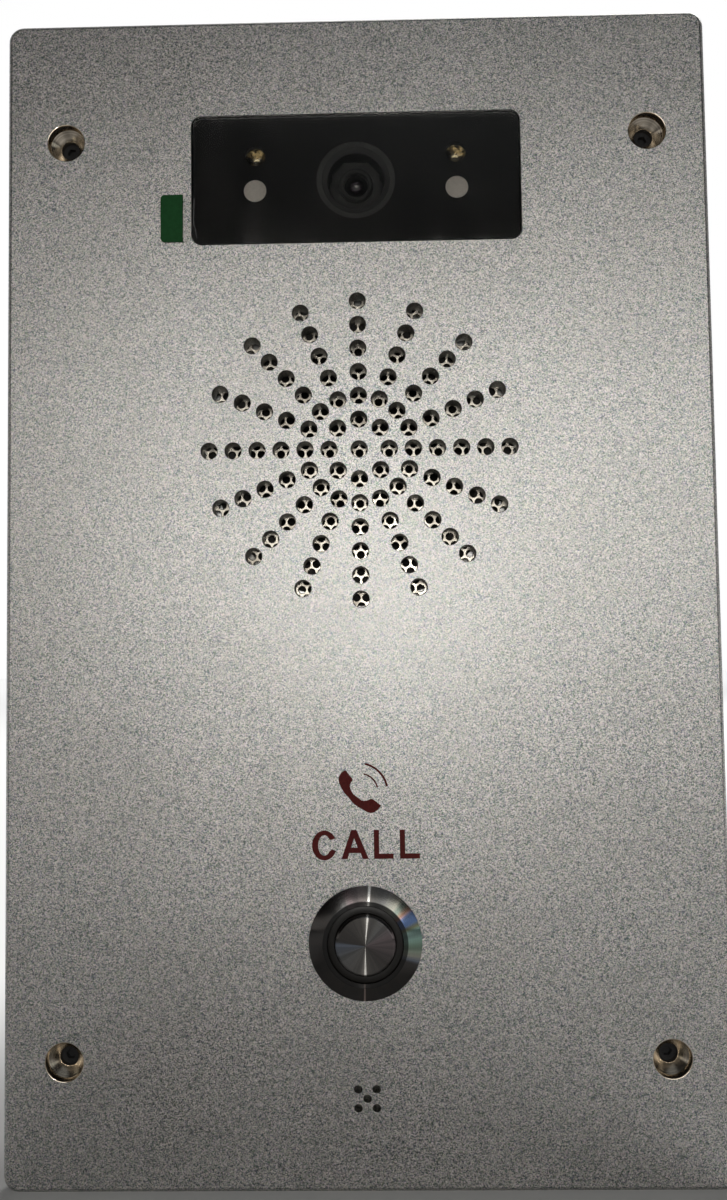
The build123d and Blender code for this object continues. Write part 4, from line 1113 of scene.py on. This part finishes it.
@dataclass(frozen=True)
class CameraModule:
    """What shows through the mask: the ring, the camera, the lamps and the light pipes."""

    window: CameraWindow
    board_front: float = 8.5
    leg_reach: float = 1.27
    leg_side: float = 0.5
    cup_back: float = 0.6

    def baffle(self, finishes: Finishes) -> None:
        """The rubber ring, with a shallow inner step."""
        shape = Shape()
        profile = (
            (5.8, 4.5), (8.8, 4.5), (8.8, -2.7), (8.7, -2.8), (6.9, -2.8), (6.6, -2.5), (6.1, -2.4),
            (5.8, -2.1), (5.8, 4.5),
        )
        shape.turn(self.window.centre, profile)
        shape.piece("lens_ring", [finishes["ring_rubber"]], slot="black_rubber", replaces=["lens_baffle"])

    def barrel(self, finishes: Finishes) -> None:
        """The threaded barrel and its front lens."""
        shape = Shape()
        profile = [(1.6, 5.5), (1.6, 0.8), (2.45, 0.8), (2.45, -0.1), (2.7, -0.3), (3.2, -0.3), (3.5, -0.1)]
        profile += thread(crest=3.5, root=3.3, first=0.3, pitch=0.8, turns=6, shares=(0.25, 0.5, 0.75))
        profile += [(3.5, 5.5), (1.6, 5.5)]
        shape.turn(self.window.centre, profile, steps=72)
        shape.stand_in("lens_tube", finishes, "black_plastic", "lens_barrel")
        glass = Shape()
        bead = 1.65
        curve = [
            (bead * math.sin(math.radians(turn)), bead * (1 - math.cos(math.radians(turn))) - 0.25)
            for turn in range(0, 65, 5)
        ]
        edge = ((bead, 0.75), (2.4, 0.75), (2.4, 0.8), (0.0, 0.8))
        glass.turn(self.window.centre, (*curve, *edge), steps=64)
        glass.stand_in("front_lens", finishes, "lens", "lens_glass")

    def lamps(self, finishes: Finishes) -> None:
        """The round-nosed lamps with their cups and legs."""
        dome = Shape()
        cup = Shape()
        nose = (
            (0.0, -2.7), (0.8, -2.62), (1.5, -2.35), (2.0, -1.85), (2.3, -1.2), (2.35, 1.6), (2.4, 1.7),
            (2.4, 2.3), (0.0, 2.3),
        )
        back = self.cup_back
        bowl = ((0.0, 0.4), (0.55, 0.4), (0.6, 0.3), (1.75, -0.9), (1.9, -0.9), (1.9, back), (0.0, back))
        leg = (self.leg_side, self.board_front - back, self.leg_side)
        for across, up in self.window.pair(self.window.lamp_place):
            dome.turn((across, up), nose, steps=48)
            cup.turn((across, up), bowl, steps=9)
            for reach in (-self.leg_reach, self.leg_reach):
                cup.box((across + reach, (back + self.board_front) / 2, up), leg)
        dome.stand_in("lamp_domes", finishes, "lamp_plastic", "white_lamps")
        cup.piece("lamp_cups", [finishes["lamp_cup"]])

    def pipes(self, finishes: Finishes) -> None:
        """The frosted light pipes, with a rounded end."""
        shape = Shape()
        profile = ((0.0, -2.8), (2.3, -2.8), (2.45, -2.74), (2.5, -2.6), (2.5, 7.4), (2.4, 7.5), (0.0, 7.5))
        for centre in self.window.pair(self.window.pipe_place):
            shape.turn(centre, profile, steps=64)
        shape.stand_in("pipe_rods", finishes, "frosted_plastic", "light_pipes")

    def build(self, finishes: Finishes) -> None:
        """Builds the ring, the barrel with its lens, the lamps and the pipes."""
        self.baffle(finishes)
        self.barrel(finishes)
        self.lamps(finishes)
        self.pipes(finishes)


@dataclass(frozen=True)
class CallButton:
    """The call button: a turned flange and barrel, the light ring, the pressed cap and its spring."""

    centre: Point = (0.0, -69.0)
    spring_radius: float = 3.6
    spring_wire: float = 0.35
    spring_ends: Point = (-2.6, 3.1)
    spring_turns: int = 4
    spring_steps: int = 32
    spring_sides: int = 12
    steps: int = 144

    def housing(self, finishes: Finishes) -> None:
        """The flange with its bevel and flat rim, and the threaded barrel behind it."""
        shape = Shape()
        profile = [
            (6.96, 14.0), (6.96, -4.1), (7.35, -4.1), (7.35, -6.92), (7.42, -7.0), (8.22, -7.0),
            (8.32, -6.98), (10.9, -5.86), (11.0, -5.78), (11.0, -5.46), (10.94, -5.4), (9.4, -5.4),
        ]
        profile += thread(crest=9.4, root=9.05, first=-4.0, pitch=1.0, turns=17, shares=(0.4, 0.6, 0.9))
        profile += [(9.4, 13.5), (9.2, 14.0), (6.96, 14.0)]
        shape.turn(self.centre, profile, self.steps)
        shape.stand_in("call_flange", finishes, "turned_steel", "button_housing")

    def ring(self, finishes: Finishes) -> None:
        """The unlit light ring, slightly dished."""
        shape = Shape()
        profile = (
            (5.98, -4.1), (5.98, -6.62), (6.05, -6.68), (6.3, -6.7), (7.1, -6.66), (7.3, -6.6), (7.3, -4.1),
            (5.98, -4.1),
        )
        shape.turn(self.centre, profile, self.steps)
        shape.stand_in("call_light_ring", finishes, "smoked_plastic", "button_light_ring")

    def cap(self, finishes: Finishes) -> None:
        """The pressed cap, with a fine chamfer and its collar."""
        shape = Shape()
        profile = (
            (0.0, -8.0), (5.36, -8.0), (5.44, -7.97), (5.86, -7.56), (5.9, -7.46), (5.9, -4.1),
            (6.56, -4.1), (6.6, -4.0), (6.6, -3.1), (0.0, -3.1),
        )
        shape.turn(self.centre, profile, self.steps)
        shape.piece("call_cap", [finishes["turned_cap"]], CALL_BUTTON, "turned_steel", ["button_actuator"])

    def spring(self, finishes: Finishes) -> None:
        """The return spring, a coil from the cap back to the base."""
        shape = Shape()
        across, up = self.centre
        front, back = self.spring_ends
        steps = self.spring_turns * self.spring_steps
        wire = self.spring_wire
        place = Matrix.Translation((across + self.spring_radius, front, up))
        start = bmesh.ops.create_circle(
            shape.mesh, cap_ends=False, segments=self.spring_sides, radius=wire, matrix=place
        )
        ring = start["verts"] + list({edge for vertex in start["verts"] for edge in vertex.link_edges})
        bmesh.ops.spin(
            shape.mesh, geom=ring, cent=(across, 0.0, up), axis=-Vector(Axis.BACKWARDS.value),
            dvec=(0.0, (back - front) / steps, 0.0), angle=2 * math.pi * self.spring_turns, steps=steps,
        )
        bmesh.ops.holes_fill(shape.mesh, edges=shape.open_edges(), sides=0)
        between = (Vector((across, front - wire, up)), Vector((across, back + wire, up)))
        shape.stand_in("return_spring", finishes, "spring_steel", "button_spring", between=between)

    def build(self, finishes: Finishes) -> None:
        """Builds the three turned pieces and the spring."""
        self.housing(finishes)
        self.ring(finishes)
        self.cap(finishes)
        self.spring(finishes)


@dataclass(frozen=True)
class CallLabel:
    """The printed label over the button: a handset with two sound arcs, and the word CALL."""

    face: float = -5.0
    ink: float = 0.03
    base: float = -52.96
    top: float = -47.35

    @staticmethod
    def oval(centre: Point, reach: Point, start: float, end: float, steps: int = 28) -> list[Point]:
        """Points along an oval, with its angles in degrees."""
        angles = [math.radians(start + (end - start) * index / steps) for index in range(steps + 1)]
        return [(centre[0] + reach[0] * math.cos(a), centre[1] + reach[1] * math.sin(a)) for a in angles]

    def letters(self) -> list[list[Point]]:
        """The outlines of the four letters."""
        low, high = self.base, self.top
        middle = (-7.8, -50.28)
        letter_c = self.oval(middle, (2.43, 2.9), 27.0, 339.0) + [(-6.35, -51.05)]
        letter_c += self.oval(middle, (1.2, 1.98), 322.0, 38.0) + [(-6.6, -49.25)]
        letter_a = [
            (-4.48, low), (-3.25, low), (-3.0, -51.8), (-0.73, -51.8), (-0.33, low), (0.87, low),
            (-1.48, high), (-2.55, high),
        ]
        eye = [(-2.6, -50.75), (-1.97, -48.95), (-1.3, -50.75)]
        found = [letter_c, letter_a, eye]
        for left, right in ((1.88, 5.7), (6.95, 10.84)):
            stem, foot = left + 1.02, low + 1.0
            letter_l = [(left, low), (right, low), (right, foot), (stem, foot), (stem, high), (left, high)]
            found.append(letter_l)
        return found

    def handset(self) -> list[list[Point]]:
        """The outlines of the handset and its two arcs."""
        body = [
            (-3.45, -35.75), (-2.05, -37.6), (-2.63, -38.45), (-2.68, -39.0), (-2.4, -39.75),
            (-2.0, -40.43), (-1.1, -41.1), (-0.45, -41.6), (0.03, -41.75), (0.75, -41.62), (1.5, -41.3),
            (1.95, -41.5), (3.35, -42.65), (3.1, -43.05), (2.75, -43.5), (2.0, -44.0), (1.3, -44.1),
            (0.6, -43.9), (-0.15, -43.45), (-1.15, -42.9), (-2.25, -42.0), (-3.0, -41.0), (-3.75, -40.2),
            (-4.35, -39.2), (-4.75, -38.3), (-4.9, -37.55), (-4.78, -36.9), (-4.38, -36.25),
            (-3.87, -35.85),
        ]
        found = [body]
        sounds = (((-0.95, -40.05), 5.65, 0.40, 11.5, 77.0), ((-0.7, -39.9), 3.5, 0.30, 13.0, 78.0))
        for centre, radius, width, start, end in sounds:
            outer, inner = radius + width / 2, radius - width / 2
            arc = self.oval(centre, (outer, outer), start, end, 20)
            found.append(arc + self.oval(centre, (inner, inner), end, start, 20))
        return found

    def build(self, finishes: Finishes) -> None:
        """Builds the word and the handset."""
        for name, outlines in (("label_word", self.letters()), ("label_handset", self.handset())):
            print_layer = Shape()
            print_layer.slab(outlines, self.face - self.ink, self.face)
            print_layer.piece(name, [finishes["call_ink"]])


@dataclass(frozen=True)
class RearCover:
    """The moulded cover: round corners, screw holes, eased openings and a vent.

    The jack's and the terminal block's openings are a middle, across and up, with a width and a height.
    """

    width: float = 104.0
    height: float = 220.0
    back: float = 46.0
    wall: float = 2.0
    corner: float = 6.0
    edge: float = 2.0
    jack: tuple[float, float, float, float] = (-22.0, 82.0, 16.6, 14.6)
    terminal: tuple[float, float, float, float] = (18.0, 82.0, 31.08, 10.6)
    vent_centre: Point = (0.0, -66.0)
    vent_slot: Point = (36.0, 1.8)
    vent_pitch: float = 5.0
    vent_count: int = 7
    screw_reach: Point = (43.0, 73.0)
    screw_up: float = 26.0
    screw_hole: float = 3.4
    screw_top: float = 47.9
    recess_foot: float = 46.9

    @property
    def inside(self) -> float:
        """The depth of the inner face of the cover's back."""
        return self.back - self.wall

    def screw_centres(self) -> list[Point]:
        """The middles of the four screws."""
        return around((0.0, self.screw_up), *self.screw_reach)

    def shell(self, shape: Shape) -> None:
        """The outside with its rounded rim, and the inside."""
        steps = 6
        turns = [math.pi / 2 * index / steps for index in range(steps + 1)]
        start = self.back - self.edge
        outside = [(0.0, 0.0)]
        outside += [(self.edge * (1 - math.cos(t)), start + self.edge * math.sin(t)) for t in turns]
        shape.wall(
            [
                shape.rounded(
                    (0.0, 0.0), self.width - 2 * inset, self.height - 2 * inset, self.corner - inset * 0.5,
                    depth,
                )
                for inset, depth in outside
            ]
        )
        size = (self.width, self.height, self.corner)
        shape.frame((0.0, 0.0), size, ((-self.wall, 0.0), (-self.wall, self.inside)))

    def holes(self) -> list[tuple[Point, Size]]:
        """The middles and sizes of the openings and the vent's slots."""
        found = [((x, z), (width, height, 0.4)) for x, z, width, height in (self.jack, self.terminal)]
        across, up = self.vent_centre
        first = up - self.vent_pitch * (self.vent_count - 1) / 2
        for index in range(self.vent_count):
            found.append(((across, first + self.vent_pitch * index), (*self.vent_slot, 0.85)))
        return found

    def build(self, finishes: Finishes) -> None:
        """Builds the cover and its screws."""
        shape = Shape()
        self.shell(shape)
        for centre, size in self.holes():
            shape.frame(centre, size, mouth(lip=0.25, face=self.back, end=self.inside), bends=4)
        radius, ease = self.screw_hole / 2, 0.2
        for centre in self.screw_centres():
            levels = ((radius + ease, self.back), (radius, self.back - ease), (radius, self.inside))
            shape.sleeve(centre, levels, sides=32)
        shape.fill(self.back, self.inside, 0.0)
        shape.stand_in("moulded_cover", finishes, "housing_plastic", "rear_housing")
        self.screws(finishes)

    @staticmethod
    def cross(centre: Point, reach: float, half: float) -> list[Point]:
        """The outline of a cross, from the length and the half width of its arms."""
        quarter = ((half, half), (half, reach), (-half, reach))
        turns = ((1, 0), (0, 1), (-1, 0), (0, -1))
        across, up = centre
        return [(across + x * c - z * s, up + x * s + z * c) for c, s in turns for x, z in quarter]

    def screws(self, finishes: Finishes) -> None:
        """Pan-headed screws with a cross recess."""
        shape = Shape()
        top, foot = self.screw_top, self.recess_foot
        profile = (
            (0.0, 40.0), (1.4, 40.0), (1.5, 40.2), (1.5, 46.0), (2.8, 46.0), (2.8, 46.5), (2.6, 47.1),
            (2.2, 47.6), (1.8, 47.82), (1.6, top),
        )
        for centre in self.screw_centres():
            shape.turn(centre, profile, steps=40)
            arms = (self.cross(centre, 1.35, 0.34), top), (self.cross(centre, 0.8, 0.24), foot)
            shape.wall([shape.loop(outline, depth) for outline, depth in arms])
        shape.fill(top, foot)
        shape.stand_in("cover_screws", finishes, "zinc_steel", "housing_screws")


@dataclass(frozen=True)
class HoleShadeSkins:
    """Dark foam discs closing the gasket behind each fixing hole, put there for the shade inside the holes.
    """

    centres: tuple[Point, ...]
    radius: float = 1.3
    front: float = 1.2
    back: float = 1.7

    def build(self, finishes: Finishes) -> None:
        """Builds the four skins."""
        shape = Shape()
        ease = 0.12
        edges = ((ease, self.front), (0.0, self.front + ease), (0.0, self.back - ease), (ease, self.back))
        for centre in self.centres:
            shape.sleeve(centre, [(self.radius - inset, depth) for inset, depth in edges], sides=32)
        shape.fill(self.front, self.back)
        # a dark sheet that stands in for the shade behind the fixing holes
        shape.piece("hole_shade_skins", [finishes["foam_rubber"]], slot="foam_rubber")


@dataclass(frozen=True)
class Interior:
    """The carried-over solids, each dressed in the finish of its material slot."""

    slots: tuple[tuple[str, tuple[str, ...]], ...] = (
        ("zinc_steel", ("panel_studs", "retaining_nuts", "camera_screws", "speaker_frame", "speaker_yoke",
                        "button_nut", "board_standoffs", "spacer_standoffs", "terminal_screws")),
        ("green_tape", ("film_pull_tab",)),
        ("black_plastic", ("camera_bezel", "lens_holder", "button_plunger", "button_base", "network_jack")),
        ("foam_tape", ("window_tape",)),
        ("foam_rubber", ("panel_gasket", "speaker_gasket")),
        ("black_rubber", ("button_seal", "microphone_boot")),
        ("paper_cone", ("speaker_diaphragm",)),
        ("ferrite", ("speaker_magnet",)),
        ("circuit_board", ("camera_board", "main_board")),
        ("chip_plastic", ("image_sensor", "infrared_lamps", "processor", "capacitors")),
        ("tinned_steel", ("processor_shield",)),
        ("gold_contacts", ("button_terminals", "jack_contacts")),
        ("green_plastic", ("terminal_block",)),
        ("blue_plastic", ("relay",)),
        ("yellow_tape", ("transformer",)),
        ("vent_film", ("microphone_membrane",)),
        ("capsule_metal", ("microphone_capsule",)),
    )

    def build(self, finishes: Finishes, nodes: dict[str, bpy.types.Object]) -> None:
        """Puts the finishes on the solids."""
        for finish, names in self.slots:
            for name in names:
                solid = nodes[name].data
                solid.materials.clear()
                solid.materials.append(finishes[finish])
                log.info("%s: dressed in %s", name, finish)


@dataclass(frozen=True)
class Lamp:
    """A soft rectangular light, which the camera doesn't see.

    Its place, the point that it faces, and its width and height are in metres. The level is how bright its
    face is, where 1 is white.
    """

    name: str
    place: Triple
    aim: Triple
    size: Point
    level: float
    tone: Colour

    def build(self) -> None:
        """Sets up the light."""
        data = bpy.data.lights.new(self.name, "AREA")
        data.shape = "RECTANGLE"
        data.size, data.size_y = self.size
        data.color = self.tone
        data.energy = self.level * math.pi * self.size[0] * self.size[1]
        made = put(self.name, data)
        made.visible_camera = False
        made.location = self.place
        made.rotation_euler = (Vector(self.aim) - Vector(self.place)).to_track_quat("-Z", "Y").to_euler()


@dataclass(frozen=True)
class Studio:
    """The camera, the pale floor, the surroundings and the soft lights.

    A card is the direction of a bright field in the room, and a span is where a field or a colour fades in.
    A glow is the two depths in metres between which the floor turns paler, and by how much.
    """

    camera_place: Triple = (3.81, -233.66, -13.24)
    camera_turn: Triple = (93.344, 0.733, 1.238)
    focal_length: float = 34.74
    film_side: float = 36.0
    shift: Point = (0.0062, -0.0104)
    floor_level: float = -116.25
    near_glow: Triple = (0.02, 0.16, 0.6)
    far_glow: Triple = (0.8, 4.0, 0.28)
    room_slant: Triple = (0.35, 0.0, 0.94)
    room_span: Point = (-0.60, 0.75)
    room_low: Colour = (0.022, 0.018, 0.015)
    room_high: Colour = (0.012, 0.013, 0.014)
    foot_span: Point = (0.12, 0.27)
    foot_tone: Colour = (0.46, 0.45, 0.43)
    upper_card: Triple = (0.10, -0.64, 0.76)
    upper_span: Point = (0.86, 0.99)
    upper_tone: Colour = (0.19, 0.20, 0.205)
    side_card: Triple = (0.72, -0.69, -0.06)
    side_span: Point = (0.91, 0.95)
    side_tone: Colour = (0.50, 0.52, 0.50)
    wall_span: Point = (0.70, 0.84)
    wall_tone: float = 0.45
    rear_span: Point = (-0.1, 0.5)
    rear_tone: float = 0.05
    warm: Colour = (1.0, 0.975, 0.93)
    pale: Colour = (1.0, 0.985, 0.96)

    def camera(self) -> None:
        """The camera at the photograph's place."""
        data = bpy.data.cameras.new("view_camera")
        data.lens = self.focal_length
        data.sensor_width = data.sensor_height = self.film_side
        data.shift_x, data.shift_y = self.shift
        data.clip_start, data.clip_end = 0.01, 20.0
        made = put("view_camera", data)
        made.location = [value * METRE for value in self.camera_place]
        made.rotation_euler = [math.radians(value) for value in self.camera_turn]
        bpy.context.scene.camera = made

    def floor(self) -> None:
        """A wide pale floor under the plate's lower edge, which runs out to white behind the object."""
        mesh = bmesh.new()
        place = Matrix.Translation((0.0, 0.0, self.floor_level * METRE))
        bmesh.ops.create_grid(mesh, x_segments=1, y_segments=1, size=6.0, matrix=place)
        data = bpy.data.meshes.new("floor")
        mesh.to_mesh(data)
        mesh.free()
        recipe = Recipe("floor_paint")
        at = recipe.place()
        tone = recipe.blend(recipe.noise(at, 60.0, 3.0), grey(0.72), grey(0.76))
        depth = recipe.add("SeparateXYZ", {0: at}).outputs["Y"]
        glows = (self.near_glow, self.far_glow)
        near, far = (recipe.range(depth, start, end, 0.0, level) for start, end, level in glows)
        white = recipe.maths("MULTIPLY", recipe.seen(), recipe.maths("ADD", near, far))
        recipe.surface(Base_Color=tone, Roughness=0.8, Specular_IOR_Level=0.1)
        recipe.surface(Emission_Color=grey(1.0), Emission_Strength=white)
        data.materials.append(recipe.material)
        put("floor", data)

    def world(self) -> None:
        """White surroundings behind the object, and a dim room in front with a pale band along the floor.

        The camera, metal and glass see the white behind, which lights the rest of the scene only a little.
        """
        world = bpy.data.worlds.new("surroundings")
        world.use_nodes = True
        bpy.context.scene.world = world
        wiring = Wiring(world.node_tree)
        direction = wiring.add("TexCoord", {}).outputs["Generated"]
        height = wiring.range(wiring.along(direction, self.room_slant), *self.room_span)
        room = wiring.blend(height, self.room_low, self.room_high)
        foot = wiring.range(wiring.along(direction, Axis.UP.value), *self.foot_span, 1.0, 0.0)
        room = wiring.blend(foot, room, self.foot_tone)
        for card, span, tone in (
            (self.upper_card, self.upper_span, self.upper_tone),
            (self.side_card, self.side_span, self.side_tone),
        ):
            room = wiring.blend(wiring.range(wiring.along(direction, card), *span), room, tone)
        depth = wiring.along(direction, Axis.BACKWARDS.value)
        white = wiring.blend(wiring.range(depth, *self.wall_span), grey(self.wall_tone), grey(1.0))
        behind = wiring.blend(wiring.seen(), grey(self.rear_tone), white)
        colour = wiring.blend(wiring.range(depth, *self.rear_span), room, behind)
        wiring.feed(world.node_tree.nodes["Background"].inputs["Color"], colour)

    def build(self) -> None:
        """Sets up the camera, the floor, the world and the lights."""
        self.camera()
        self.floor()
        self.world()
        aim, rear_aim = (0.0, 0.0, 0.0), (0.0, 0.6, -0.116)
        for lamp in (
            Lamp("key_light", (0.08, -0.74, 0.155), aim, (0.80, 0.34), level=1.54, tone=self.warm),
            Lamp("streak_light", (0.008, -0.745, 0.03), aim, (0.015, 0.12), level=60.0, tone=self.warm),
            Lamp("rear_light", (0.5, 1.3, 1.1), rear_aim, (1.2, 1.2), level=3.9, tone=self.pale),
        ):
            lamp.build()
        bpy.context.scene.view_settings.view_transform = "Standard"


def main() -> None:
    """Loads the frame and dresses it."""
    logging.basicConfig(level=logging.INFO, format="%(message)s")
    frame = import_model()
    plate = FrontPlate()
    button = CallButton()
    window = CameraWindow()
    finishes = Palette(button.centre, window.centre, plate.fixing_centres()).make()
    Studio().build()
    plate.build(finishes)
    GuardSheet().build(finishes)
    window.build(finishes)
    CameraModule(window).build(finishes)
    button.build(finishes)
    CallLabel().build(finishes)
    HoleShadeSkins(plate.fixing_centres()).build(finishes)
    RearCover().build(finishes)
    Interior().build(finishes, frame["nodes"])
    bpy.context.view_layer.update()


if __name__ == "__main__":
    main()
